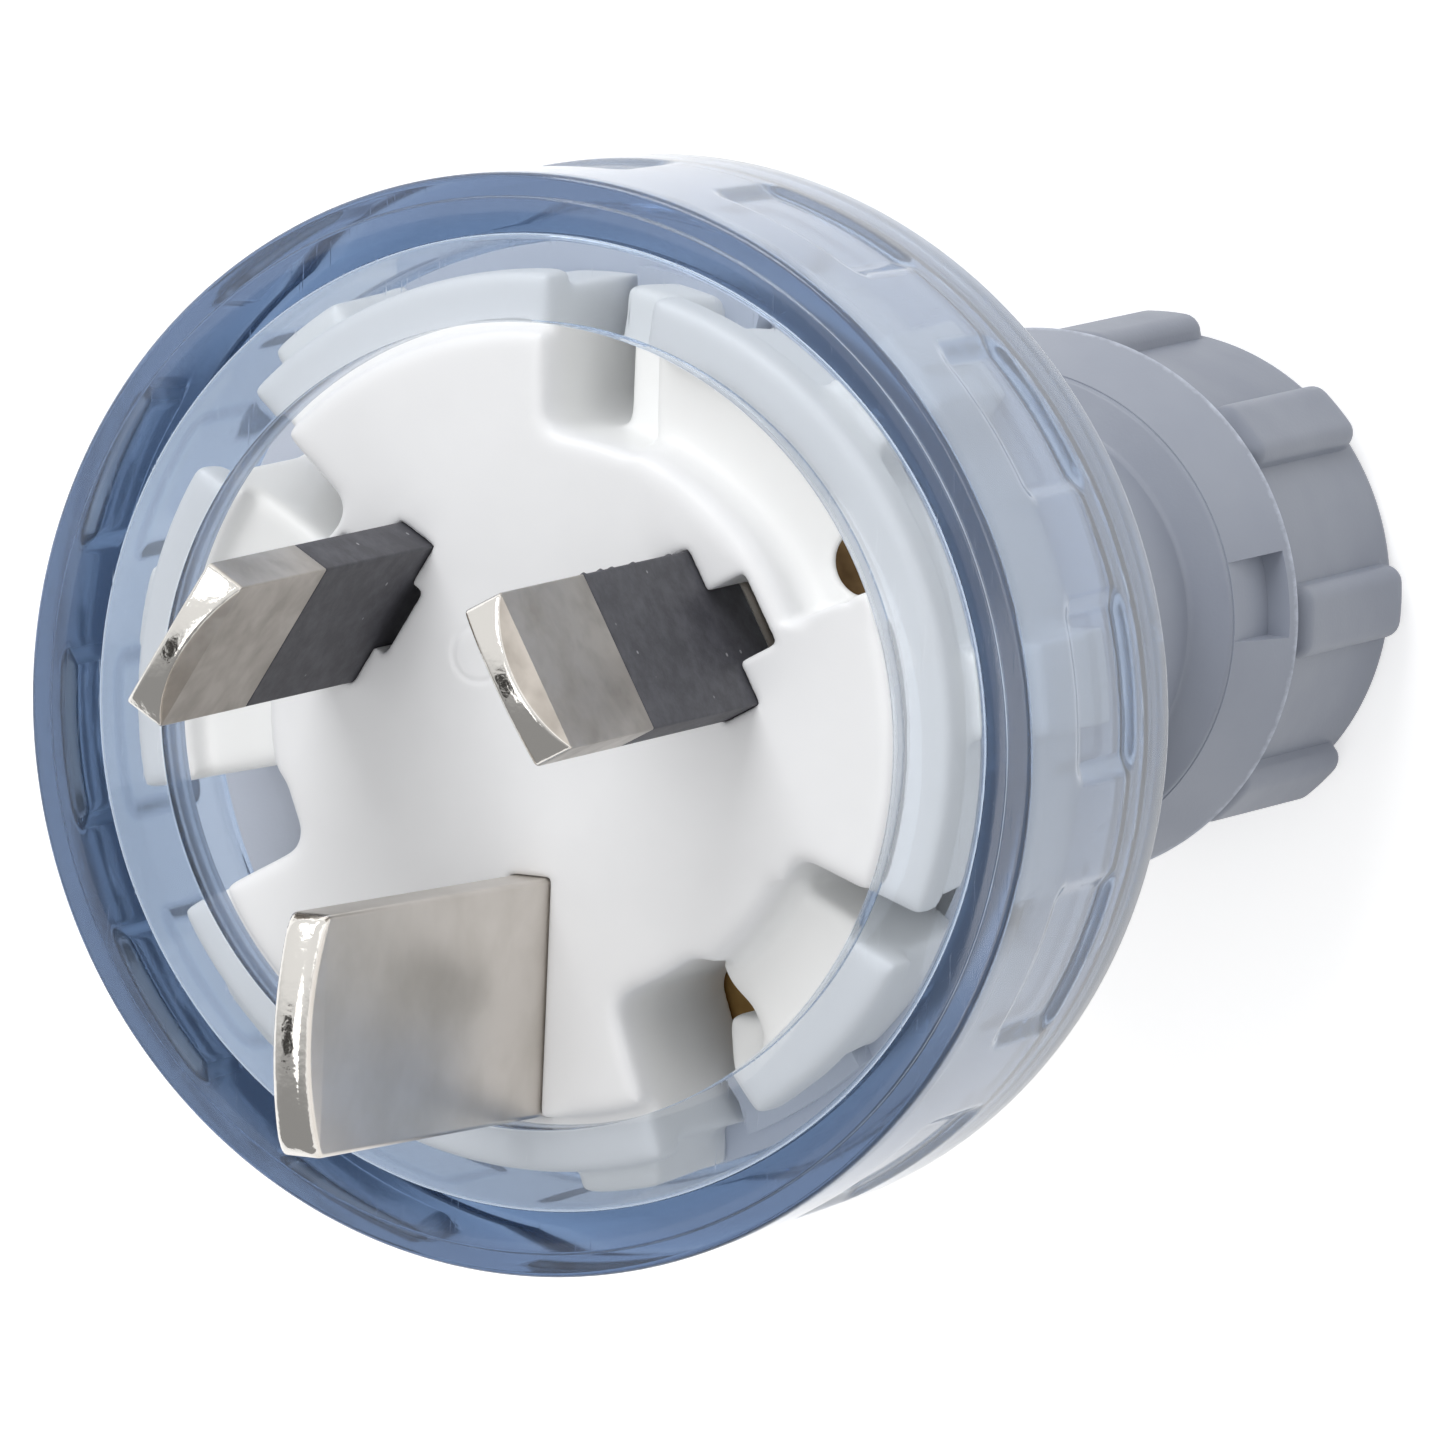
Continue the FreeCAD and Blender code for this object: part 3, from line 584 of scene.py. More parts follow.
@dataclass(frozen=True)
class SleeveNylon(Finish):
    """Dark moulded nylon on the blades: matte, with fine grain and pale specks of dust."""

    colour: str = "#3d3d43"
    pale_colour: str = "#55555c"
    speck_colour: str = "#b9b9bd"
    cloud_mm: float = 0.9
    speck_mm: float = 1.3
    grain_mm: float = 0.08
    grain_height_mm: float = 0.004

    def sockets(self, tree: Tree, where: Socket, paint: Socket) -> dict[str, Any]:
        """Add clouds, specks and grain, as in Finish."""
        cloud = add(tree, "TexNoise", {"Vector": where, "Scale": per_mm(self.cloud_mm),
                                       "Detail": 6.0, "Roughness": 0.7})
        colour = tinted(tree, cloud, (0.4, 0.75), self.colour, self.pale_colour)
        dust = add(tree, "TexVoronoi", {"Vector": where, "Scale": per_mm(self.speck_mm)})
        grain = add(tree, "TexNoise", {"Vector": where, "Scale": per_mm(self.grain_mm),
                                       "Detail": 2.0})
        bump = add(tree, "Bump", {"Height": grain, "Strength": 1.0,
                                  "Distance": self.grain_height_mm * MM})
        return {"Base Color": tinted(tree, dust, (0.07, 0.04), colour, self.speck_colour, 0.6),
                "Roughness": self.roughness, "Normal": bump}


# ---- The clear ring cover ----


@dataclass
class ClearCover:
    """Clear ring with a lip over the carrier's flange, twelve grip pockets and a rear thread."""

    opening: float = 15.2
    bore: float = 18.45
    rear: float = 20.4
    front: float = 20.8
    lip: float = 0.9
    lip_gap: float = 0.03
    side: float = 13.5
    edge_round: float = 0.25
    land_width: float = 0.9
    land_drop: float = 0.12
    pockets: int = 12
    rib_angle: float = 22.6
    rib_width: float = 3.4
    pocket_front: float = 3.5
    pocket_rear: float = 9.4
    pocket_depth: float = 0.3
    pocket_round: float = 1.1
    thread_lead: float = 3.0
    thread_starts: int = 2
    thread_height: float = 0.4
    thread_flat: float = 0.22
    side_paint: float = 0.2
    wall_paint: float = 2.4
    wall_marks: tuple[float, ...] = (-0.1, 0.07, 0.2, 0.33, 0.47, 0.6, 0.74, 0.88, 1.02, 1.2)

    def side_lines(self, bottom: float, top: float) -> Array:
        """Heights of the grid's lines on the outer side, close together at the pockets' ends."""
        ends = np.array([FACE - self.pocket_rear, FACE - self.pocket_front])
        marks = both_sides(ends, self.wall_marks, np.array([1.0, -1.0]))
        return marked_lines(bottom, top, 0.8, marks)

    def turn_lines(self) -> Array:
        """Angles of the grid's lines in radians, close together at the pockets' sides."""
        half_pocket = 0.5 * (TURN / self.pockets - self.rib_width / self.front)
        middle = np.radians(self.rib_angle) + TURN / self.pockets * (np.arange(self.pockets) + 0.5)
        edges = np.concatenate([middle - half_pocket, middle + half_pocket])
        inward = np.repeat([1.0, -1.0], self.pockets)
        marks = both_sides(edges, np.array(self.wall_marks) / self.rear, inward) % TURN
        return marked_lines(0.0, TURN, np.radians(1.1), marks)[:-1]

    def outline(self) -> Array:
        """Closed outline of the ring's wall as (radius, height), from the outer side's foot."""
        top = FACE + self.lip
        bottom = top - self.side
        land = self.front - self.land_width
        edge = self.edge_round
        under = FLANGE_TOP + self.lip_gap
        corners = [(self.front, top - self.land_drop), (land, top - self.land_drop), (land, top),
                   (self.opening, top), (self.opening, under), (self.bore, under),
                   (self.bore, bottom), (self.rear, bottom)]
        radii = [edge, 0.05, 0.1, 0.07, 0.05, 0.25, 0.15, edge]
        shaped = rounded(corners, radii, 5)
        # The outline's first arc is the front edge, so the outer side lies before it.
        side_top = shaped[0, 1]
        side_low = shaped[-1, 1]
        levels = self.side_lines(side_low, side_top)[1:-1]
        radius = np.interp(levels, [side_low, side_top], [shaped[-1, 0], shaped[0, 0]])
        coarse = spaced(shaped, 1.0)
        outer = (coarse[:, 0] > self.bore + 1.2) & (coarse[:, 1] > side_low + TINY) & (
            coarse[:, 1] < side_top - TINY)
        inner = (np.abs(coarse[:, 0] - self.bore) < TINY) & (coarse[:, 1] < FLANGE_TOP - 0.3)
        fine = np.arange(bottom + 0.2, RIM + 0.3, 0.11)[::-1]
        bore_low = coarse[inner]
        kept = bore_low[bore_low[:, 1] > fine[0] + 0.1]
        first = int(np.argmax(inner))
        rest = coarse[~outer & ~inner]
        before = int(np.sum(~outer[:first] & ~inner[:first]))
        bore_points = np.vstack([kept, np.column_stack([np.full(len(fine), self.bore), fine])])
        rest = np.vstack([rest[:before], bore_points, rest[before:]])
        return np.vstack([rest, np.column_stack([radius, levels])])

    def pocket(self, height: Array, angle: Array) -> Array:
        """How far the outer side is cut in.

        With s the distance inwards from the pocket's rounded outline, over the wall's run, the
        depth is D * (1 - cos(pi * s)) / 2, which is level at the outline and on the floor.

        Args:
            height: Heights of the points.
            angle: Angles of the points.

        Returns:
            The depth in millimetres.
        """
        pitch = TURN / self.pockets
        half_width = 0.5 * (pitch - self.rib_width / self.front) * self.rear
        half_length = 0.5 * (self.pocket_rear - self.pocket_front)
        middle = FACE - 0.5 * (self.pocket_rear + self.pocket_front)
        across = ((angle - np.radians(self.rib_angle)) % pitch - 0.5 * pitch) * self.rear
        corner = self.pocket_round
        over_x = np.abs(across) - (half_width - corner)
        over_z = np.abs(height - middle) - (half_length - corner)
        outside = np.hypot(np.maximum(over_x, 0.0), np.maximum(over_z, 0.0))
        distance = corner - outside - np.minimum(np.maximum(over_x, over_z), 0.0)
        share = np.clip(distance / corner, 0.0, 1.0)
        return 0.5 * self.pocket_depth * (1.0 - np.cos(np.pi * share))

    def build(self) -> Object:
        """Work out the ring's surface and make it."""
        outline = self.outline()
        angle = self.turn_lines()[None, :]
        radius, height = swept(outline, angle)
        is_side = radius > self.bore + 1.2
        cut = np.where(is_side, self.pocket(height, angle), 0.0)
        radius = radius - cut
        is_bore = np.abs(outline[:, :1] - self.bore) < TINY
        ridge = thread_depth(height, angle, self.thread_lead, self.thread_starts,
                             self.thread_flat)
        window = faded(height, FACE + self.lip - self.side + 0.25, RIM - 0.15, 0.35)
        radius = radius - np.where(is_bore, self.thread_height * ridge * window, 0.0)
        on_lip = (outline[:, :1] < self.opening + 0.05) & (outline[:, 1:] < FACE + self.lip - 0.1)
        # The pockets' walls, half-way down, are the haziest part of the side.
        share = cut / self.pocket_depth
        hazy = np.where(is_side, self.side_paint + self.wall_paint * share * (1.0 - share), 0.0)
        hazy = hazy + is_bore + on_lip
        hazy = hazy + (outline[:, 1:] < RIM - 2.0) * ~is_side
        shell = Shell()
        shell.grid(polar(radius, height, angle), values=np.clip(hazy + 0.0 * angle, 0.0, 1.0))
        return shell.make("clear_ring_cover", 30.0)

    def dress(self, material: Material) -> None:
        """Build the cover and put it in the node's place.

        It shades nothing, because light gets through it and would be lost on the way.
        """
        piece = installed(self.build(), Place.COVER, "clear_plastic", material, "front_cover")
        piece.visible_shadow = piece.visible_diffuse = False


# ---- Blades and sleeves ----


def outward(outline: Array) -> Array:
    """Unit normals of a closed outline that runs anticlockwise, from its neighbours' chord."""
    chord = np.roll(outline, -1, axis=0) - np.roll(outline, 1, axis=0)
    normal = np.column_stack([chord[:, 1], -chord[:, 0]])
    return normal / np.linalg.norm(normal, axis=1, keepdims=True)


def plate(shell: Shell, outline: Array, half: Callable[[Array], Array], edge: float,
          tip_edge: float | None = None, split: float | None = None, steps: int = 6) -> None:
    """Add a flat plate with rounded edges, its outline in (y, z) and its thickness along x.

    At the angle a of the edge's rounding, a point lies edge * (1 - cos a) inside the outline and
    at x = +-(half - edge * (1 - sin a)). The edge's radius grows to the tip's where the outline
    faces up.

    Args:
        shell: Where the plate goes.
        outline: Anticlockwise closed outline in (y, z).
        half: Half of the thickness at a height z.
        edge: Radius of the edges.
        tip_edge: Radius of the edges at the tip, the same as the others if not given.
        split: Height at which the flats bend, if they do.
        steps: Points on each edge's quarter circle.
    """
    if split is not None:
        nxt = np.roll(outline, -1, axis=0)
        crossing = np.flatnonzero((outline[:, 1] - split) * (nxt[:, 1] - split) < 0.0)
        share = (split - outline[crossing, 1]) / (nxt[crossing, 1] - outline[crossing, 1])
        added = outline[crossing] + share[:, None] * (nxt[crossing] - outline[crossing])
        outline = np.insert(outline, crossing + 1, added, axis=0)
    normal = outward(outline)
    angle = np.linspace(-0.5 * np.pi, 0.0, steps)
    angle = np.concatenate([angle, -angle[::-1]])[:, None]
    side = np.repeat([-1.0, 1.0], steps)[:, None]
    facing_up = np.clip((normal[None, :, 1] - 0.2) / 0.5, 0.0, 1.0)
    edge = edge + ((tip_edge or edge) - edge) * facing_up
    inset = edge * (1.0 - np.cos(angle))
    y = outline[None, :, 0] - inset * normal[None, :, 0]
    z = outline[None, :, 1] - inset * normal[None, :, 1]
    x = side * (half(z) - edge) + edge * np.sin(angle)
    polish = np.clip((normal[None, :, 1] - 0.25) / 0.3, 0.0, 1.0) * (inset < 0.5 * edge)
    index = shell.grid(np.stack([x, y, z], -1), wrap_rows=False, values=polish)
    rims = (index[0][::-1].tolist(), index[-1].tolist())
    if split is None:
        shell.faces.extend(rims)
        return
    # Each flat is two faces, above and below its bend, with a sharp edge between them.
    bends = np.flatnonzero(np.abs(outline[:, 1] - split) <= 1e-9)
    first, last = int(bends.min()), int(bends.max())
    order = np.arange(len(outline))
    parts = (order[first:last + 1], np.concatenate([order[last:], order[:first + 1]]))
    for row, turned in ((0, True), (-1, False)):
        for part in parts:
            loop = index[row][part].tolist()
            shell.faces.append(loop[::-1] if turned else loop)
        shell.sharp.append((int(index[row][first]), int(index[row][last])))


@dataclass
class Blade:
    """A plated blade with a crowned, coined tip, a waist under its sleeve and a narrow tang."""

    pole: Pole
    width: float = 6.35
    reach: float = 17.06
    corner: float = 0.45
    circle: float = 7.92
    sleeved: bool = True
    thickness: float = 1.63
    crown: float = 1.15
    bevel: float = 0.4
    edge: float = 0.08
    tip_edge: float = 0.16
    lean: float = 0.0
    sleeve_top: float = 8.8
    sleeve_root: float = 3.0
    sleeve_wall: float = 0.35
    tang_width: float = 5.0
    tang_length: float = 7.0
    lap: float = 0.3

    @property
    def tip(self) -> float:
        """Height of the tip."""
        return FACE + self.reach

    def tip_outline(self, bottom: float) -> Array:
        """Outline of the blade down to a level: sides, fillets and the crown's arc.

        The crown is an arc of radius R = (h * h + c * c) / (2 c) through the shoulders and the
        tip, h being half of the width and c the crown. Each fillet touches it from within, so
        the fillet's centre lies R - r from the crown's centre.
        """
        half = 0.5 * self.width
        radius = (half ** 2 + self.crown ** 2) / (2.0 * self.crown)
        base = self.tip - radius
        inner = half - self.corner
        rise = np.sqrt((radius - self.corner) ** 2 - inner ** 2)
        lean = np.arctan2(inner, rise)
        fillet = np.linspace(0.0, 0.5 * np.pi - lean, 12)
        arc = np.linspace(lean, -lean, 48)[1:-1]
        right = np.column_stack([inner + self.corner * np.cos(fillet),
                                 base + rise + self.corner * np.sin(fillet)])
        over = np.column_stack([radius * np.sin(arc), base + radius * np.cos(arc)])
        left = right[::-1] * (-1.0, 1.0)
        foot = rounded([(-half, bottom), (half, bottom), (half, bottom + 2.0),
                        (-half, bottom + 2.0)], [self.edge, self.edge, 0.0, 0.0], 4)
        foot = foot[foot[:, 1] < bottom + 1.0]
        return spaced(np.vstack([foot, right, over, left]), 0.7)

    def half_at(self, height: Array) -> Array:
        """Half of the thickness: straight up to the shoulder, then narrowed by the coined bevel."""
        share = np.clip((height - self.tip + self.crown) / self.crown, 0.0, 1.0)
        return 0.5 * self.thickness - self.bevel * share

    def bar(self, shell: Shell, width: float, thickness: float, low: float, high: float) -> None:
        """Add a straight bar of the blade between two heights."""
        half = 0.5 * width
        outline = rounded([(-half, low), (half, low), (half, high), (-half, high)],
                          [self.edge] * 4, 4)
        plate(shell, spaced(outline, 0.8), lambda z: 0.5 * thickness + 0.0 * z, self.edge)

    def build(self) -> Object:
        """Work out the blade in its own frame, and place it on its circle."""
        shell = Shell()
        low = FACE + self.sleeve_top if self.sleeved else RIM
        plate(shell, self.tip_outline(low), self.half_at, self.edge, self.tip_edge,
              self.tip - self.crown)
        if self.sleeved:
            waist = FACE - self.sleeve_root
            core_width = self.width - 2.0 * self.sleeve_wall
            core_thickness = self.thickness - 2.0 * self.sleeve_wall
            self.bar(shell, core_width, core_thickness, waist - self.lap, low + self.lap)
            self.bar(shell, self.width, self.thickness, RIM, waist)
        self.bar(shell, self.tang_width, self.thickness, RIM - self.tang_length, RIM + self.lap)
        shell.points = [self.placed(points) for points in shell.points]
        return shell.make(self.pole.name.lower() + "_blade")

    def placed(self, points: Array) -> Array:
        """Move points from the blade's own frame to its place: out to its circle, then round.

        A line blade's thickness is radial. The earth blade's width is radial, so it only moves,
        and leans a little beyond the face: y grows by lean * (z - face).
        """
        if self.pole is Pole.EARTH:
            beyond = np.maximum(points[:, 2] - FACE, 0.0)
            return points + np.column_stack([0.0 * beyond, self.lean * beyond - self.circle,
                                             0.0 * beyond])
        angle = np.radians(self.pole.value)
        x, y = points[:, 0] + self.circle, points[:, 1]
        return np.column_stack([x * np.cos(angle) - y * np.sin(angle),
                                x * np.sin(angle) + y * np.cos(angle), points[:, 2]])

    def dress(self, material: Material) -> None:
        """Build the blade and put it in the node's place."""
        node = self.pole.name.lower() + "_pin"
        installed(self.build(), Place.CARRIER, "plated_blade", material, node)


@dataclass
class Sleeve:
    """Moulded insulating sleeve, flush with its blade, with specks of flash on one edge."""

    blade: Blade
    corner: float = 0.1
    rim: float = 0.04
    flash_height: float = 0.07
    flash_width: float = 0.09
    flash_places: tuple[float, ...] = (0.15, 1.6, 2.5, 4.3, 7.4)

    def build(self) -> Object:
        """Carry the wall's rounded outline round the blade's rounded rectangle.

        At a distance d up a blade's side from one of the places, the flash stands out by
        height * exp(-(d / width) ** 2).
        """
        half_x, half_y = 0.5 * self.blade.thickness, 0.5 * self.blade.width
        wall = self.blade.sleeve_wall
        low, high = FACE - self.blade.sleeve_root, FACE + self.blade.sleeve_top
        ring = spaced(rounded([(half_x, -half_y), (half_x, half_y), (-half_x, half_y),
                               (-half_x, -half_y)], [self.corner] * 4, 5), 0.3)
        section = spaced(rounded([(0.0, low), (0.0, high), (-wall, high), (-wall, low)],
                                 [self.rim] * 4, 4), 0.12)
        depth = -section[:, :1] / wall
        x = ring[None, :, 0] * (1.0 - depth * wall / half_x)
        y = ring[None, :, 1] * (1.0 - depth * wall / half_y)
        z = section[:, 1:] + 0.0 * x
        from_top = high - z
        places = np.asarray(self.flash_places)[:, None, None]
        bump = np.exp(-((from_top[None] - places) / self.flash_width) ** 2).sum(0)
        on_edge = (ring[None, :, 1] > half_y - 0.05) & (ring[None, :, 0] > half_x - 0.35)
        on_edge = on_edge & (depth < 0.1)
        y = y + self.flash_height * bump * on_edge
        shell = Shell()
        shell.grid(np.stack([x, y, z], -1))
        shell.points = [self.blade.placed(points) for points in shell.points]
        return shell.make(self.blade.pole.name.lower() + "_sleeve")

    def dress(self, material: Material) -> None:
        """Build the sleeve and put it in the node's place."""
        node = self.blade.pole.name.lower() + "_pin_sleeve"
        installed(self.build(), Place.CARRIER, "sleeve_plastic", material, node)


# ---- The pin carrier and what hangs behind it ----


@dataclass
class PinCarrier:
    """White moulding, taken from its solid and given the soft edges of a worn mould.

    The ledges and notches have broad rounded edges, and the slots hug their blades.
    """

    cell: float = 0.11
    faces: int = 180000
    circle: float = 7.92
    slot_half: tuple[float, float] = (0.895, 3.255)
    pocket_span: tuple[float, float] = (-1.365, 2.515)
    pocket_half: float = 1.45
    earth_circle: float = 10.31
    earth_half: tuple[float, float] = (0.895, 4.62)
    clearance: float = 0.065
    soft_from: float = 0.5
    soft_run: float = 1.1
    light_rounds: int = 5
    broad_rounds: int = 26
    ledge_floor: float = 55.4
    flange_bottom: float = 54.3
    hole_at: tuple[float, float] = (14.22, 29.6)
    hole_radius: float = 1.3
    hole_limit: float = 14.1
    tab_inset: float = -0.03
    tab_span: tuple[float, float] = (46.8, 55.2)
    gate_mark: tuple[float, float] = (-2.47, 2.43)
    gate_radius: float = 1.05
    gate_depth: float = 0.06
    gate_line: float = 0.1
    hug_run: float = 0.35
    top_bank: tuple[tuple[float, float], ...] = (
        (3.45, 10.2), (5.7, 10.2), (5.7, 13.85), (4.6, 14.25), (3.3, 14.6))
    top_flange: tuple[tuple[float, float], ...] = (
        (3.7, 14.3), (6.2, 13.5), (6.7, 15.6), (5.3, 16.13), (3.9, 16.5))
    low_bank: tuple[tuple[float, float], ...] = (
        (6.9, -8.5), (7.45, -9.4), (8.4, -10.2), (8.85, -11.2), (8.75, -11.9), (8.3, -12.55),
        (9.3, -11.75), (10.3, -10.9), (8.1, -8.4))
    low_flange: tuple[tuple[float, float], ...] = (
        (8.3, -12.35), (9.6, -13.95), (10.7, -13.15), (11.7, -12.25), (10.4, -10.7))
    top_foot: tuple[tuple[float, float], ...] = (
        (1.5, 10.4), (3.9, 10.4), (3.9, 16.1), (1.5, 16.5))
    low_foot: tuple[tuple[float, float], ...] = (
        (6.6, -10.7), (8.9, -10.7), (8.9, -11.9), (8.2, -12.6), (6.9, -13.2))
    foot_tops: tuple[float, float] = (53.6, 53.7)

    def box_gap(self, x: Array, y: Array, half_x: float, half_y: float) -> Array:
        """Signed distance from a rectangle, positive outside and negative inside."""
        over_x, over_y = np.abs(x) - half_x, np.abs(y) - half_y
        outside = np.hypot(np.maximum(over_x, 0.0), np.maximum(over_y, 0.0))
        return outside + np.minimum(np.maximum(over_x, over_y), 0.0)

    def slot_gap(self, points: Array) -> Array:
        """Distance of each point from the nearest slot, pocket or hole, seen along the axis."""
        gap = self.box_gap(points[:, 0], points[:, 1] + self.earth_circle, *self.earth_half)
        middle = 0.5 * sum(self.pocket_span)
        for pole in (Pole.ACTIVE, Pole.NEUTRAL):
            x, y = self.local(points, pole)
            gap = np.minimum(gap, self.box_gap(x, y, *self.slot_half))
            gap = np.minimum(gap, self.box_gap(x - middle, y, self.pocket_span[1] - middle,
                                               self.pocket_half))
        radius, degrees = self.hole_at
        turn = np.radians(degrees)
        away = np.hypot(points[:, 0] - radius * np.cos(turn), points[:, 1] - radius * np.sin(turn))
        return np.minimum(gap, away - self.hole_radius)

    def local(self, points: Array, pole: Pole) -> tuple[Array, Array]:
        """A line blade's own coordinates of points: x across its flats, y across its width."""
        angle = np.radians(pole.value)
        x = points[:, 0] * np.cos(angle) + points[:, 1] * np.sin(angle) - self.circle
        y = points[:, 1] * np.cos(angle) - points[:, 0] * np.sin(angle)
        return x, y

    def hugged(self, points: Array) -> Array:
        """Move the slots' walls up to their blades.

        A point at a signed distance d from the slot, within the run r, moves in by the clearance
        times 1 - |d| / r, square to the side of the slot that it is nearest to.
        """
        moved = points.copy()
        for pole in Pole:
            half_x, half_y = self.earth_half if pole is Pole.EARTH else self.slot_half
            angle = 0.0 if pole is Pole.EARTH else np.radians(pole.value)
            x, y = (points[:, 0], points[:, 1] + self.earth_circle) if pole is Pole.EARTH else (
                self.local(points, pole))
            gap = self.box_gap(x, y, half_x, half_y)
            share = self.clearance * np.clip(1.0 - np.abs(gap) / self.hug_run, 0.0, 1.0)
            on_flat = np.abs(x) - half_x > np.abs(y) - half_y
            step_x = np.where(on_flat, -share * np.sign(x), 0.0)
            step_y = np.where(on_flat, 0.0, -share * np.sign(y))
            moved[:, 0] += step_x * np.cos(angle) - step_y * np.sin(angle)
            moved[:, 1] += step_x * np.sin(angle) + step_y * np.cos(angle)
        return moved

    def softened(self, points: Array, edges: Array) -> Array:
        """Round the edges: each point moves to the mean of its neighbours, by its own weight.

        The weight is 1 far from the slots and falls to 0 beside them, where only the first few
        rounds act.

        Args:
            points: The moulding's points.
            edges: Pairs of neighbours.

        Returns:
            The moved points.
        """
        count = len(points)
        start = np.concatenate([edges[:, 0], edges[:, 1]])
        other = np.concatenate([edges[:, 1], edges[:, 0]])
        shares = np.maximum(np.bincount(start, minlength=count), 1)[:, None]
        near = eased((self.slot_gap(points) - self.soft_from) / self.soft_run)
        shown = np.clip((points[:, 2] - RIM - 1.0) / 0.6, 0.0, 1.0)
        broad = (near * shown)[:, None]
        for step in range(self.broad_rounds):
            mean = np.stack([np.bincount(start, points[other, k], count) for k in range(3)], -1)
            weight = np.maximum(broad, 0.6) if step < self.light_rounds else broad
            points = points + weight * (mean / shares - points)
        return points

    def marked(self, points: Array) -> Array:
        """Press the faint ring of the mould's gate into the face.

        At a distance d from the ring its depth falls off by exp(-(d / line) ** 2).
        """
        away = np.hypot(points[:, 0] - self.gate_mark[0], points[:, 1] - self.gate_mark[1])
        depth = self.gate_depth * np.exp(-((away - self.gate_radius) / self.gate_line) ** 2)
        moved = points.copy()
        moved[:, 2] -= np.where(points[:, 2] > FACE - 0.3, depth, 0.0)
        return moved

    def prism(self, outline: Array, low: float, high: float) -> Mesh:
        """A closed upright prism on an outline, anticlockwise or not."""
        area = (outline[:, 0] * np.roll(outline[:, 1], -1)
                - outline[:, 1] * np.roll(outline[:, 0], -1)).sum()
        outline = outline if area > 0.0 else outline[::-1]
        shell = Shell()
        level = np.array([[low], [high]])
        index = shell.grid(np.stack([outline[None, :, 0] + 0.0 * level,
                                     outline[None, :, 1] + 0.0 * level,
                                     level + 0.0 * outline[None, :, 0]], -1), wrap_rows=False)
        shell.faces.extend([index[0][::-1].tolist(), index[1].tolist()])
        return shell.mesh("carrier_prism")

    def half_moon(self, inset: float) -> Array:
        """Outline of the ledge's hole, a circle cut off by the rim, made smaller by an inset."""
        radius, degrees = self.hole_at
        turn = np.radians(degrees)
        angle = np.linspace(0.0, TURN, 64, endpoint=False)
        x = radius * np.cos(turn) + (self.hole_radius - inset) * np.cos(angle)
        y = radius * np.sin(turn) + (self.hole_radius - inset) * np.sin(angle)
        shrink = np.minimum(1.0, (self.hole_limit - inset) / np.hypot(x, y))
        return np.column_stack([x * shrink, y * shrink])

    def tab(self, material: Material) -> None:
        """Make the brass tab that fills the half-moon hole, and hang it on the carrier."""
        mesh = self.prism(self.half_moon(self.tab_inset), self.tab_span[0], self.tab_span[1])
        piece = finished(mesh, "active_terminal_tab", 30.0)
        installed(piece, Place.CARRIER, "terminal_brass", material)

    def build(self, node: Object) -> Object:
        """Give the solid's copy a fine even mesh, soften it, and thin the mesh again.

        The half-moon hole is cut first. The banks, flanges and feet beside the top and the low
        notch join on in the remesh.
        """
        shaped = bmesh.new()
        shaped.from_mesh(node.data)
        bmesh.ops.remove_doubles(shaped, verts=shaped.verts, dist=0.002 * MM)
        mesh = node.data.copy()
        shaped.to_mesh(mesh)
        shaped.free()
        cutter = linked("carrier_cutter", self.prism(self.half_moon(0.0), RIM - 1.0, FACE + 1.0))
        mesh = self.modified(mesh, "BOOLEAN", operation="DIFFERENCE", object=cutter,
                             use_self=True)
        bpy.data.objects.remove(cutter)
        joined = bmesh.new()
        joined.from_mesh(mesh)
        for form, low, high in ((self.top_bank, RIM, self.ledge_floor),
                                (self.top_flange, self.flange_bottom, FLANGE_TOP),
                                (self.low_bank, RIM, self.ledge_floor),
                                (self.low_flange, self.flange_bottom, FLANGE_TOP),
                                (self.top_foot, RIM, self.foot_tops[0]),
                                (self.low_foot, RIM, self.foot_tops[1])):
            joined.from_mesh(self.prism(np.asarray(form), low, high))
        joined.to_mesh(mesh)
        joined.free()
        fine = self.modified(mesh, "REMESH", mode="VOXEL", voxel_size=self.cell * MM)
        points = np.zeros(3 * len(fine.vertices))
        fine.vertices.foreach_get("co", points)
        edges = np.zeros(2 * len(fine.edges), np.int32)
        fine.edges.foreach_get("vertices", edges)
        points = self.softened(points.reshape(-1, 3) / MM, edges.reshape(-1, 2))
        fine.vertices.foreach_set("co", (self.marked(self.hugged(points)) * MM).ravel())
        fine.update()
        # A quad of the fine mesh is two triangles.
        thin = self.modified(fine, "DECIMATE", ratio=self.faces / (2.0 * len(fine.polygons)))
        return finished(thin, "carrier_moulding", 50.0)

    def modified(self, mesh: Mesh, kind: str, **settings: Any) -> Mesh:
        """The mesh that one modifier makes of another."""
        holder = linked("carrier_step", mesh)
        modifier = holder.modifiers.new("step", kind)
        for key, value in settings.items():
            setattr(modifier, key, value)
        result = bpy.data.meshes.new_from_object(
            holder.evaluated_get(bpy.context.evaluated_depsgraph_get()))
        bpy.data.objects.remove(holder)
        return result

    def dress(self, node: Object, material: Material, tab_material: Material) -> None:
        """Build the carrier and put it in the node's place, with the tab in its hole."""
        installed(self.build(node), Place.CARRIER, "white_plastic", material, "pin_carrier")
        self.tab(tab_material)


# ---- The grey housing and its nut ----


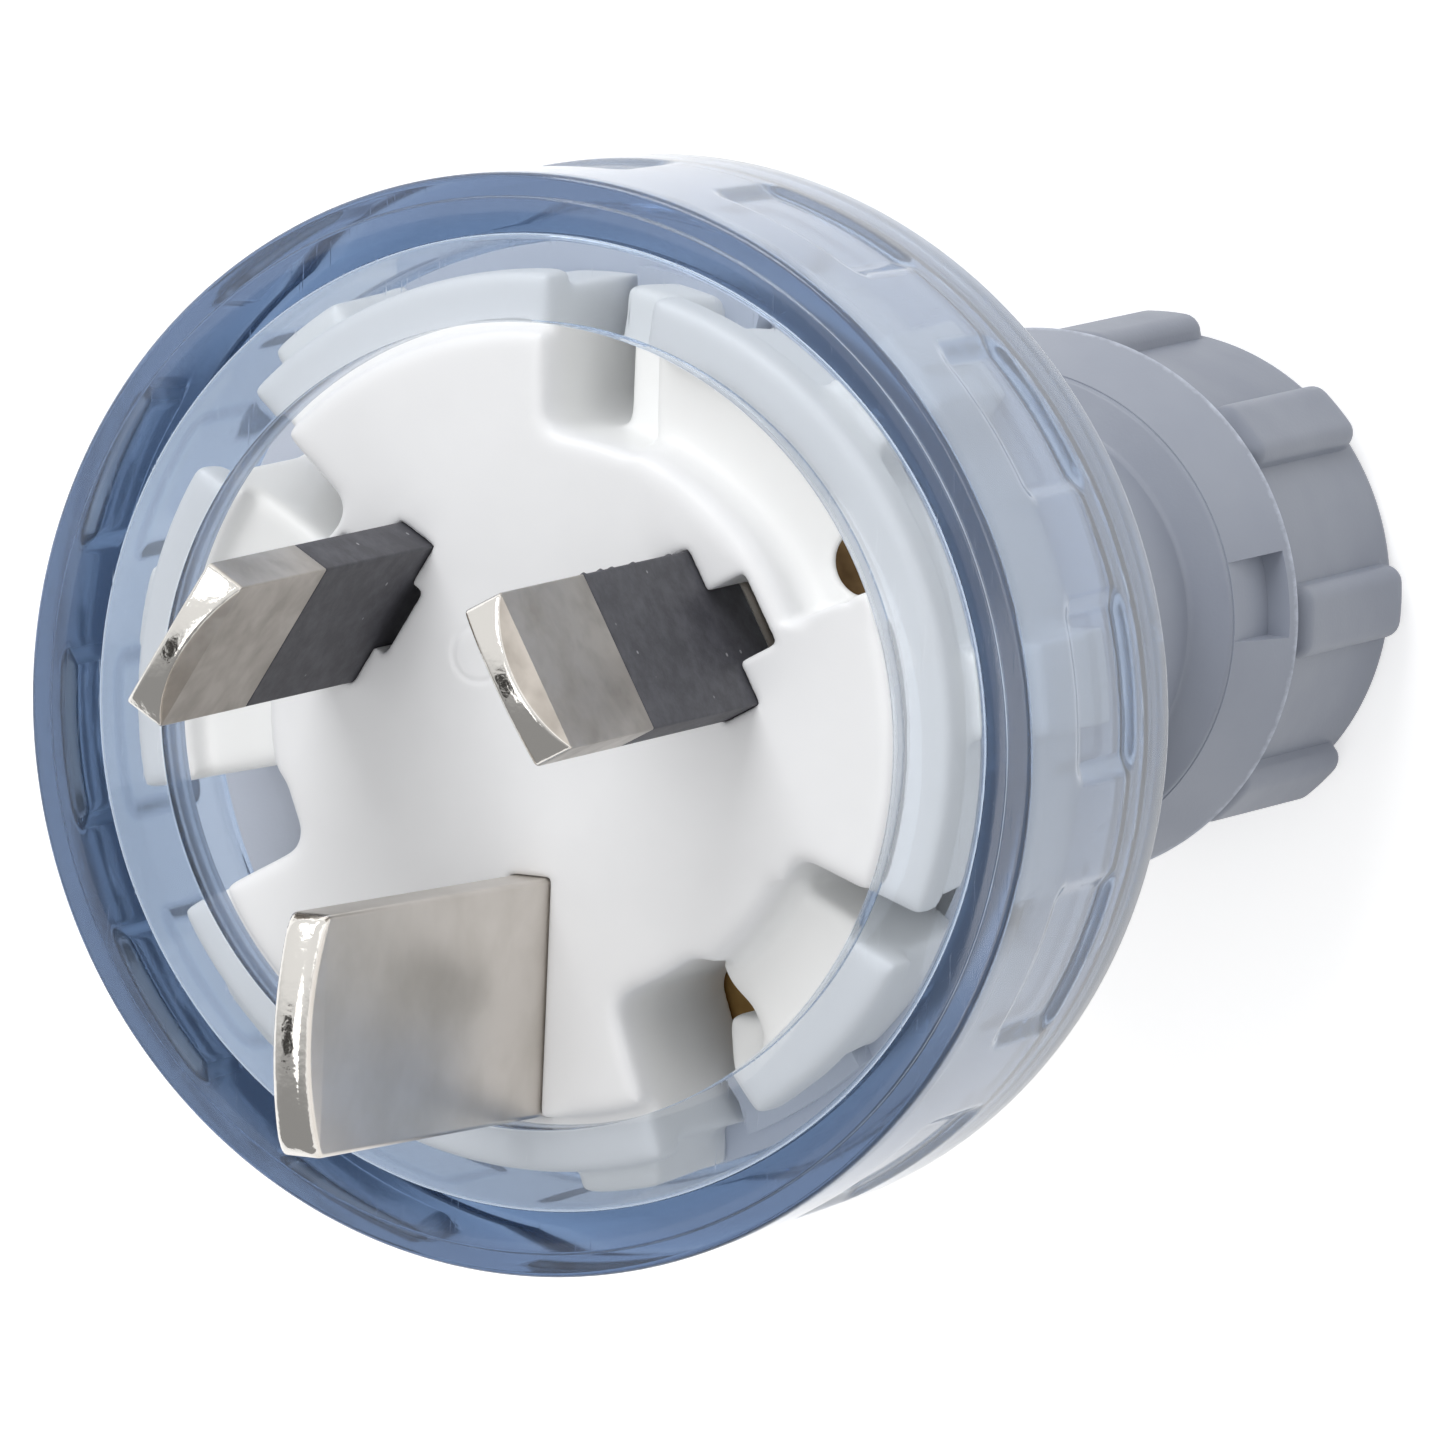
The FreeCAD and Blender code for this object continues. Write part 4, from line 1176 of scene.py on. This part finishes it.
@dataclass
class BellHousing:
    """Grey bell with a rim thread, a neck, a collar with two latch pockets, and a spigot."""

    rim_radius: float = 18.2
    rim_inner: float = 15.4
    rim_length: float = 3.2
    bell_radius: float = 17.5
    bell_top: float = 42.8
    neck_top: float = 21.3
    neck_radius: float = 8.0
    neck_bore: float = 6.0
    step_top: float = 15.9
    collar_top: float = 15.4
    collar_bottom: float = 11.7
    collar_front: float = 9.6
    collar_rear: float = 10.9
    spigot_end: float = 3.5
    spigot_bore: float = 6.9
    seat: float = 11.0
    key_height: float = 1.6
    key_reach: float = 17.0
    key_spans: tuple[tuple[float, float], ...] = ((70.5, 89.5), (-68.5, -49.5))
    latch_angles: tuple[float, ...] = (7.6, 187.6)
    latch_width: float = 3.5
    latch_length: float = 2.9
    latch_rear_wall: float = 0.65
    latch_depth: float = 0.9
    rim_thread: tuple[float, int, float] = (3.0, 2, 0.42)
    rim_groove: float = 0.5
    spigot_thread: tuple[float, int, float] = (2.0, 1, 0.40)
    spigot_groove: float = 0.4
    rim_painted_sheen: float = 2.5

    def ogee(self, top_radius: float, top: float, low_radius: float, low: float) -> Array:
        """Two arcs of one radius that join straight walls, from the lower end to the upper.

        With d the step in radius and l the run, the radius is (d * d + l * l) / (4 d).
        """
        drop, run = top_radius - low_radius, top - low
        bend = (drop ** 2 + run ** 2) / (4.0 * drop)
        turn = np.arcsin(run / (2.0 * bend))
        angle = np.linspace(0.0, turn, 14)
        lower = np.column_stack([low_radius + bend * (1.0 - np.cos(angle)),
                                 low + bend * np.sin(angle)])
        upper = np.column_stack([top_radius - bend * (1.0 - np.cos(angle)),
                                 top - bend * np.sin(angle)])[::-1]
        return np.vstack([lower, upper[1:]])

    def outline(self) -> tuple[Array, Array]:
        """Closed outline as (radius, height), and how pale it is painted: wear on the collar's
        edge, painted sheen on the rim.
        """
        rim_low = RIM - self.rim_length
        low = self.latch_levels()
        slope = (self.collar_rear - self.collar_front) / (self.collar_top - self.collar_bottom)
        foot = self.collar_bottom + 0.25
        levels = np.unique(np.concatenate([np.arange(foot, self.collar_top - 0.3, 0.3), low]))
        collar = np.column_stack([self.collar_rear - slope * (levels - self.collar_bottom), levels])
        turn = np.linspace(-0.5 * np.pi, 0.0, 6)[:-1]
        edge = np.column_stack([self.collar_rear - 0.3 + 0.25 * np.cos(turn),
                                self.collar_bottom + 0.25 + 0.25 * np.sin(turn)])
        shoulder = rounded([(self.collar_front, self.collar_top - 0.6),
                            (self.collar_front, self.collar_top), (self.neck_radius, self.step_top),
                            (self.neck_radius, self.step_top + 0.8)], [0.0, 0.2, 0.3, 0.0], 5)
        spigot = np.column_stack([np.full(68, self.neck_radius),
                                  np.linspace(self.spigot_end + 0.3, self.collar_bottom, 68)])
        rim = np.column_stack([np.full(30, self.rim_radius), np.linspace(rim_low, RIM - 0.2, 30)])
        crest = [(self.rim_radius - 0.06, RIM - 0.06), (self.rim_radius - 0.2, RIM),
                 (self.key_reach + 0.01, RIM), (self.key_reach, RIM),
                 (self.key_reach - 0.12, RIM), (self.rim_inner + 0.12, RIM), (self.rim_inner, RIM)]
        inner = self.ogee(self.rim_inner, self.bell_top - 1.3, self.neck_bore, self.neck_top)[::-1]
        end = self.spigot_end
        seat = [(self.neck_bore, self.seat), (self.spigot_bore, self.seat),
                (self.spigot_bore, end + 0.1), (self.spigot_bore + 0.1, end),
                (self.neck_radius - 0.3, end)]
        outer = [spigot, edge, collar, shoulder[1:-1],
                 self.ogee(self.bell_radius, self.bell_top, self.neck_radius, self.neck_top),
                 [(self.bell_radius, rim_low)], rim, crest, inner, seat]
        points = distinct(np.vstack([np.asarray(part, float) for part in outer]))
        # Paler where painted: wear on the collar's rear edge, and on the rim's top a painted sheen
        # that stands in for light on it.
        wear = np.exp(-(np.hypot(points[:, 0] - self.collar_rear + 0.1,
                                 points[:, 1] - self.collar_bottom - 0.1) / 0.35) ** 2)
        wear = np.maximum(wear, self.rim_painted_sheen * (points[:, 1] > RIM - 0.3))
        return points, wear

    def latch_levels(self) -> Array:
        """Heights of the lines at the latch pockets' ends."""
        low = self.collar_bottom + self.latch_rear_wall
        return np.array([low - 0.03, low, low + 0.03, low + self.latch_length - 0.03,
                         low + self.latch_length])

    def build(self) -> Object:
        """Work out the housing's surface: thread, keys and latch pockets on its outline."""
        outline, wear = self.outline()
        keys = np.radians(np.asarray(self.key_spans))
        key_marks = both_sides(keys.ravel(), (0.0, 0.002, 0.01), np.tile([1.0, -1.0], len(keys)))
        latches = np.radians(np.asarray(self.latch_angles))
        half = 0.5 * self.latch_width / self.collar_rear
        latch_edges = np.concatenate([latches - half, latches + half])
        latch_marks = both_sides(latch_edges, (0.0, 0.003), np.repeat([1.0, -1.0], len(latches)))
        marks = np.concatenate([key_marks, latch_marks]) % TURN
        angle = marked_lines(0.0, TURN, np.radians(1.6), marks)[:-1][None, :]
        radius, height = swept(outline, angle)
        radius = self.with_threads(radius, height, angle)
        on_key = np.zeros_like(angle)
        for start, end in keys:
            turn = (angle - start) % TURN
            run = np.clip(np.minimum(turn, end - start - turn) / 0.002, 0.0, 1.0)
            on_key = np.maximum(on_key, np.where(turn < end - start, run, 0.0))
        is_key = (outline[:, 1:] > RIM - TINY) & (outline[:, :1] <= self.key_reach)
        height = height + np.where(is_key, self.key_height * on_key, 0.0)
        radius = radius - self.latch(outline, angle, latches, half)
        shell = Shell()
        shell.grid(polar(radius, height, angle), values=wear[:, None])
        return shell.make("bell_housing", 33.0)

    def with_threads(self, radius: Array, height: Array, angle: Array) -> Array:
        """Cut the rim's and the spigot's thread grooves, which the cover and the nut run in."""
        rim = np.abs(radius - self.rim_radius) < TINY
        groove = 1.0 - thread_depth(height, angle + 0.5 * TURN, *self.rim_thread)
        window = faded(height, RIM - self.rim_length, RIM + 1.0, 0.1)
        radius = radius - np.where(rim, self.rim_groove * groove * window, 0.0)
        spigot = (np.abs(radius - self.neck_radius) < TINY) & (height < self.collar_bottom)
        groove = 1.0 - thread_depth(height, angle, *self.spigot_thread)
        window = faded(height, self.spigot_end + 0.2, self.collar_bottom, 0.3)
        return radius - np.where(spigot, self.spigot_groove * groove * window, 0.0)

    def latch(self, outline: Array, angle: Array, latches: Array, half: float) -> Array:
        """Depth of the ramped latch pockets: full at the rear wall, nothing at the front."""
        low = self.collar_bottom + self.latch_rear_wall
        share = (outline[:, 1:] - low) / self.latch_length
        ramp = np.where((share >= -TINY) & (share <= 1.0), self.latch_depth * (1.0 - share), 0.0)
        turn = (angle[..., None] - latches + np.pi) % TURN - np.pi
        away = np.abs(turn).min(-1)
        inside = np.clip((half - away) / 0.003, 0.0, 1.0)
        outer = (outline[:, :1] > self.collar_front - 0.4) & (
            outline[:, 1:] < self.collar_top + 0.1)
        return np.where(outer, ramp * inside, 0.0)

    def dress(self, material: Material) -> None:
        """Build the housing and put it in the node's place."""
        installed(self.build(), Place.HOUSING, "grey_plastic", material, "rear_housing")


@dataclass
class GlandNut:
    """Grey nut with eight broad grip ribs, a thread inside and a cord hole in its rear wall."""

    length: float = 11.4
    core: float = 9.75
    bore: float = 8.25
    hole: float = 5.6
    rear_wall: float = 2.1
    edge_round: float = 0.8
    ribs: int = 8
    rib_width: float = 3.1
    rib_reach: float = 0.85
    rib_round: float = 0.765
    rib_front_gap: float = 0.9
    rim_round: float = 0.25
    thread: tuple[float, int, float] = (2.0, 1, 0.2)
    thread_height: float = 0.35
    wear: float = 0.5
    rib_marks: tuple[float, ...] = (-0.03, 0.0, 0.03, 0.08, 0.16, 0.27, 0.42, 0.6, 0.78)

    def rib_height(self, height: Array, angle: Array) -> Array:
        """Height of the ribs over the core, a box with rounded edges.

        With d the distance outside the rib's flat top, the height is
        reach - round + sqrt(round ** 2 - d ** 2) up to d = round, and nothing beyond.
        """
        pitch = TURN / self.ribs
        reach = self.core + self.rib_reach
        across = np.abs((angle + 0.5 * pitch) % pitch - 0.5 * pitch) * reach
        rounding = self.rib_round
        over_x = np.maximum(across - (0.5 * self.rib_width - rounding), 0.0)
        top = self.length - self.rib_front_gap
        over_z = np.maximum(np.maximum(height - (top - rounding),
                                       self.edge_round + rounding - height), 0.0)
        distance = np.hypot(over_x, over_z)
        dome = np.sqrt(np.maximum(rounding ** 2 - distance ** 2, 0.0))
        foot = np.clip((rounding + 0.03 - distance) / 0.03, 0.0, 1.0)
        return (self.rib_reach - rounding + dome) * foot

    def outline(self) -> Array:
        """Closed outline of the core's wall as (radius, height)."""
        corners = [(self.core, 0.0), (self.core, self.length), (self.bore, self.length),
                   (self.bore, self.rear_wall), (self.hole, self.rear_wall), (self.hole, 0.0)]
        shaped = rounded(corners, [self.edge_round, self.rim_round, 0.2, 0.15, 0.1, 0.15], 6)
        side = shaped[:, 0] > self.core - TINY
        low, high = shaped[side, 1].min(), shaped[side, 1].max()
        rib_low, rib_top = self.edge_round, self.length - self.rib_front_gap
        marks = both_sides(np.array([rib_low, rib_top]), self.rib_marks, np.array([1.0, -1.0]))
        levels = marked_lines(low, high, 0.6, marks)[1:-1]
        start = int(np.flatnonzero(side & (np.abs(shaped[:, 1] - low) < TINY))[0]) + 1
        wall = np.column_stack([np.full(len(levels), self.core), levels])
        fine = spaced(np.vstack([shaped[:start], wall, shaped[start:]]), 0.6)
        bore = (np.abs(fine[:, 0] - self.bore) < TINY) & (fine[:, 1] > self.rear_wall + 0.5) & (
            fine[:, 1] < self.length - 0.4)
        where = int(np.argmax(bore))
        thread = np.arange(self.length - 0.4, self.rear_wall + 0.5, -0.13)
        fine = np.vstack([fine[:where], np.column_stack([np.full(len(thread), self.bore), thread]),
                          fine[where:][~bore[where:]]])
        return distinct(fine)

    def build(self) -> Object:
        """Work out the nut's surface and make it."""
        outline = self.outline()
        pitch = TURN / self.ribs
        reach = self.core + self.rib_reach
        half = 0.5 * self.rib_width / reach
        middle = pitch * np.arange(self.ribs)
        edges = np.concatenate([middle - half, middle + half])
        inward = np.repeat([1.0, -1.0], self.ribs)
        marks = both_sides(edges, np.array(self.rib_marks) / reach, inward) % TURN
        angle = marked_lines(0.0, TURN, np.radians(2.0), marks)[:-1][None, :]
        radius, height = swept(outline, angle)
        side = outline[:, :1] > self.core - 0.3
        rib = self.rib_height(height, angle)
        radius = radius + np.where(side, rib, 0.0)
        ridge = thread_depth(height, angle, *self.thread)
        window = faded(height, self.rear_wall + 1.4, self.length - 0.2, 0.5)
        bore = np.abs(outline[:, :1] - self.bore) < TINY
        radius = radius - np.where(bore, self.thread_height * ridge * window, 0.0)
        # The ribs' rounded edges are worn, and their flat tops and the core aren't.
        worn = np.clip((rib - 0.6) / 0.3, 0.0, 1.0) * (rib < self.rib_reach - 0.01)
        shell = Shell()
        shell.grid(polar(radius, height, angle), values=self.wear * np.where(side, worn, 0.0))
        return shell.make("ribbed_nut", 40.0)

    def dress(self, material: Material) -> None:
        """Build the nut and put it in the node's place."""
        installed(self.build(), Place.NUT, "grey_plastic", material, "gland_nut")


# ---- Studio ----


@dataclass
class Studio:
    """Camera at the photograph's angle, soft lamps, pale floor and white background.

    A direction is given in the camera's axes (right, up, back), and a card or lamp looks at the
    plug from there.
    """

    camera_at: tuple[float, float, float] = (401.0, 125.2, 893.6)
    look_at: tuple[float, float, float] = (6.1, 0.4, 54.2)
    roll_degrees: float = 2.365
    lens_mm: float = 625.0
    ambient: float = 0.44
    floor_size: float = 2400.0
    floor_level: float = -0.02
    floor_glow: float = 0.52
    card_distance: float = 0.7
    gloss_low: float = 0.35
    gloss_high: float = 1.0
    glossy_bounces: int = 12
    max_bounces: int = 16

    def axes(self) -> tuple[Vector, Vector, Vector]:
        """The camera's right, up and backward directions."""
        back = (Vector(self.camera_at) - Vector(self.look_at)).normalized()
        right = Vector((0.0, 1.0, 0.0)).cross(back).normalized()
        up = back.cross(right)
        roll = np.radians(self.roll_degrees)
        turned = right * np.cos(roll) + up * np.sin(roll)
        return turned, back.cross(turned), back

    def seen_from(self, way: Sequence[float], distance: float) -> tuple[Vector, Matrix]:
        """A place at a distance in metres, and the turn that makes a thing there face the plug."""
        right, up, back = self.axes()
        direction = (right * way[0] + up * way[1] + back * way[2]).normalized()
        turn = direction.to_track_quat("Z", "Y").to_matrix()
        return Vector(self.look_at) * MM + direction * distance, turn

    def camera(self) -> None:
        """Make the camera."""
        right, up, back = self.axes()
        lens = bpy.data.cameras.new("camera")
        lens.lens = self.lens_mm
        lens.sensor_width = 36.0
        lens.clip_start = 0.05
        lens.clip_end = 20.0
        holder = linked("camera", lens)
        rows = Matrix((right, up, back)).transposed().to_4x4()
        holder.matrix_world = Matrix.Translation(Vector(self.camera_at) * MM) @ rows
        bpy.context.scene.camera = holder

    def lamp(self, name: str, way: Sequence[float], distance: float, size: float,
             level: float) -> None:
        """Make a soft lamp that looks at the plug.

        At a distance d, a level k needs pi ** 2 * k * d ** 2 watts: it lights a white surface
        that faces the lamp to k.

        Args:
            name: Name of the lamp.
            way: Direction from the plug.
            distance: Distance in metres.
            size: Side of the lamp in metres.
            level: Brightness that it gives a white surface facing it.
        """
        light = bpy.data.lights.new(name, "AREA")
        light.shape = "SQUARE"
        light.size = size
        light.energy = float(np.pi ** 2 * level * distance ** 2)
        holder = linked(name, light)
        place, turn = self.seen_from(way, distance)
        holder.matrix_world = Matrix.Translation(place) @ turn.to_4x4()

    def sheet(self, name: str, place: Vector, turn: Matrix, size: float, title: str, colour: str,
              roughness: float) -> tuple[Object, Tree]:
        """Make a square sheet of the staging.

        Args:
            name: Name of the sheet.
            place: Its centre in metres.
            turn: Its turn from lying flat.
            size: Its side in metres.
            title: Name of its material.
            colour: Its colour in hex.
            roughness: Its roughness.

        Returns:
            The sheet, and its material's node tree.
        """
        half = 0.5 * size
        corners = [(-half, -half, 0.0), (half, -half, 0.0), (half, half, 0.0), (-half, half, 0.0)]
        mesh = bpy.data.meshes.new(name)
        mesh.from_pydata([place + turn @ Vector(corner) for corner in corners], [], [(0, 1, 2, 3)])
        material = bpy.data.materials.new(title)
        material.use_nodes = True
        tree = material.node_tree
        fill(tree, tree.nodes["Principled BSDF"], {"Base Color": linear(colour),
                                                   "Roughness": roughness})
        mesh.materials.append(material)
        return linked(name, mesh), tree

    def on_rays(self, tree: Tree, *kinds: str) -> Socket:
        """A value that is 1 on rays of any of these kinds and 0 on others."""
        found = 0.0
        for kind in kinds:
            ray = add(tree, "LightPath", out=f"Is {kind} Ray")
            found = add(tree, "Math", {0: ray, 1: found}, operation="MAXIMUM")
        return found

    def card(self, name: str, way: Sequence[float], size: float) -> None:
        """Make a dark card that shows only in gloss, as a studio's unlit corner does.

        Light that comes through clear plastic passes it.

        Args:
            name: Name of the card.
            way: Direction from the plug.
            size: Side of the card in metres.
        """
        card, tree = self.sheet(name, *self.seen_from(way, self.card_distance), size,
                                "felt_dark", "#3a3836", 1.0)
        felt = tree.nodes["Principled BSDF"].outputs[0]
        mixed = add(tree, "MixShader", {0: self.on_rays(tree, "Transmission"), 1: felt,
                                        2: add(tree, "BsdfTransparent")})
        fill(tree, tree.nodes["Material Output"], {"Surface": mixed})
        card.visible_camera = card.visible_diffuse = card.visible_shadow = False

    def world(self) -> None:
        """Light from all round, white where the camera or clear plastic sees it.

        A gloss sees a studio that is white above and grey below.
        """
        world = bpy.data.worlds.new("studio")
        bpy.context.scene.world = world
        world.use_nodes = True
        tree = world.node_tree
        tree.nodes.clear()
        glossy = self.on_rays(tree, "Glossy")
        way = add(tree, "TexCoord", out="Generated")
        height = add(tree, "SeparateXYZ", {"Vector": way}, "Y")
        shade = add(tree, "MapRange", {
            "Value": height, "From Min": -0.55, "From Max": 0.3, "To Min": self.gloss_low,
            "To Max": self.gloss_high}, interpolation_type="SMOOTHSTEP")
        gloss = add(tree, "Math", {0: glossy, 1: shade}, operation="MULTIPLY")
        plain = add(tree, "Math", {0: 1.0, 1: glossy}, operation="SUBTRACT")
        level = add(tree, "Math", {0: self.ambient, 1: plain, 2: gloss}, operation="MULTIPLY_ADD")
        level = add(tree, "Math", {0: level, 1: self.on_rays(tree, "Camera", "Transmission")},
                    operation="MAXIMUM")
        glow = add(tree, "Background", {"Color": (1.0, 1.0, 1.0, 1.0), "Strength": level})
        add(tree, "OutputWorld", {"Surface": glow})

    def floor(self) -> None:
        """Make the floor: white card that keeps the plug's shadow and glows a little when seen."""
        floor, tree = self.sheet("floor", Vector((0.0, 0.0, self.floor_level * MM)),
                                 Matrix.Identity(3), self.floor_size * MM, "white_card",
                                 "#f0f0f0", 0.9)
        seen = self.on_rays(tree, "Camera", "Transmission", "Glossy")
        level = add(tree, "Math", {0: seen, 1: self.floor_glow}, operation="MULTIPLY")
        fill(tree, tree.nodes["Principled BSDF"], {"Emission Color": (1.0, 1.0, 1.0, 1.0),
                                                   "Emission Strength": level})

    def build(self) -> None:
        """Make the whole studio."""
        self.camera()
        self.world()
        self.floor()
        self.lamp("key", (-0.35, 0.8, 0.6), 0.8, 0.5, 0.56)
        self.lamp("fill", (-0.3, -0.2, 0.93), 0.9, 0.6, 0.26)
        self.lamp("side", (0.85, 0.3, 0.5), 0.9, 0.5, 0.06)
        self.card("right_card", (0.86, 0.49, -0.08), 0.34)
        self.card("left_card", (-0.77, -0.19, 0.61), 0.2)
        bpy.context.scene.view_settings.view_transform = "Standard"
        # Light runs to and fro inside the clear ring, and each turn is one more gloss.
        bpy.context.scene.cycles.glossy_bounces = self.glossy_bounces
        bpy.context.scene.cycles.max_bounces = self.max_bounces


# ---- The whole plug ----


# Moulded white nylon: bright, soft satin, with painted shade a touch darker down in the recesses.
WHITE_NYLON = MouldedPlastic("nylon_white_moulded", 0.42, "#f3f4f6", "#eff0f2", "#ffffff",
                             grain_mm=0.1, grain_height_mm=0.002, recess_shade_colour="#eff0f0")
# Moulded grey polycarbonate from a spark-eroded mould: fine satin grain, rubbed pale on edges, and
# a painted sheen on the housing's rim.
GREY_PLASTIC = MouldedPlastic("polycarbonate_grey_moulded", 0.42, "#9ba1ae", "#959ba9", "#c3cad8",
                              grain_mm=0.16, grain_height_mm=0.006)
# The same plastic on the nut, painted a shade darker for the shade that its sides lie in.
SHADED_NUT_PLASTIC = MouldedPlastic("polycarbonate_grey_nut_painted_shade", 0.45, "#8b919e", "#858b99", "#b3bac7",
                             grain_mm=0.16, grain_height_mm=0.006)
# Moulded black rubber: dull, with dusty clouds.
BLACK_RUBBER = MouldedPlastic("rubber_black_moulded", 0.75, "#1c1c1e", "#262629", "#3a3a3d",
                              grain_mm=0.2, grain_height_mm=0.01, cloud_mm=2.0)
# Clear polycarbonate, injection moulded and polished: glossy with a blue depth.
CLEAR = ClearPolycarbonate("polycarbonate_clear_moulded", 0.03)
# Nickel plate on rolled brass strip: warm grey, cloudy flats and coined, polished tips.
NICKEL = Metal("nickel_plate_rolled", 0.34, "#b9b2aa", "#a39c94")
# The same plate on the earth blade, painted paler for the brighter light that its flats catch, with
# a finer shine.
EARTH_NICKEL_PAINTED_LIGHT = Metal("nickel_plate_rolled_painted_light", 0.3, "#d6d0c9", "#cbc5bd", cloud_mm=3.0,
                     cloud_gloss=0.015)
# Machined brass: golden, with cross lines from the cutter, painted darker for the shade deep inside
# the plug.
BRASS = Metal("brass_machined", 0.36, "#97794a", "#7a5f38", line_mm=0.08, line_length_mm=0.08)
# The same brass in the ledge's hole, painted brown and dull for the shade that it lies in.
SHADED_BRASS = Metal("brass_painted_shade", 0.5, "#6a563c", "#4b3b28", line_mm=0.08)
# Zinc-plated turned steel: pale grey with fine turning lines.
ZINC = Metal("steel_zinc_plated", 0.3, "#c4c6c8", "#aeb1b4", line_mm=0.06, line_length_mm=0.3)
# Moulded dark nylon of the sleeves: matte, warm black.
SLEEVE = SleeveNylon("nylon_dark_moulded", 0.55)


def dress_node(frame: dict[str, Any], name: str, material: Material) -> None:
    """Give a node of the solids its finish, and leave its mesh as it is."""
    node = frame["nodes"][name]
    if node.material_slots:
        node.material_slots[0].material = material
    else:
        node.data.materials.append(material)
    LOG.info("%s: dressed with %s", name, material.name)


def main() -> None:
    """Load the frame, build and dress every piece."""
    logging.basicConfig(level=logging.INFO, format="%(name)s %(message)s")
    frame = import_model()
    Studio().build()
    white, grey, rubber = WHITE_NYLON.make(), GREY_PLASTIC.make(), BLACK_RUBBER.make()
    nickel, nickel_painted_light = NICKEL.make(), EARTH_NICKEL_PAINTED_LIGHT.make()
    brass, zinc = BRASS.make(), ZINC.make()
    sleeve, clear = SLEEVE.make(), CLEAR.make()
    ClearCover().dress(clear)
    PinCarrier().dress(frame["nodes"]["pin_carrier"], white, SHADED_BRASS.make())
    for pole in (Pole.ACTIVE, Pole.NEUTRAL):
        blade = Blade(pole)
        blade.dress(nickel)
        Sleeve(blade).dress(sleeve)
    Blade(Pole.EARTH, 9.08, 19.94, 1.1, 10.31, False, bevel=0.1, edge=0.2, tip_edge=0.5,
          lean=0.036).dress(nickel_painted_light)
    BellHousing().dress(grey)
    GlandNut().dress(SHADED_NUT_PLASTIC.make())
    for pole in Pole:
        dress_node(frame, pole.name.lower() + "_terminal", brass)
        dress_node(frame, pole.name.lower() + "_terminal_screw", zinc)
    dress_node(frame, "retainer_screws", zinc)
    for name in ("pin_retainer", "cord_clamp", "slip_washer"):
        dress_node(frame, name, white)
    dress_node(frame, "cord_grommet", rubber)


if __name__ == "__main__":
    main()
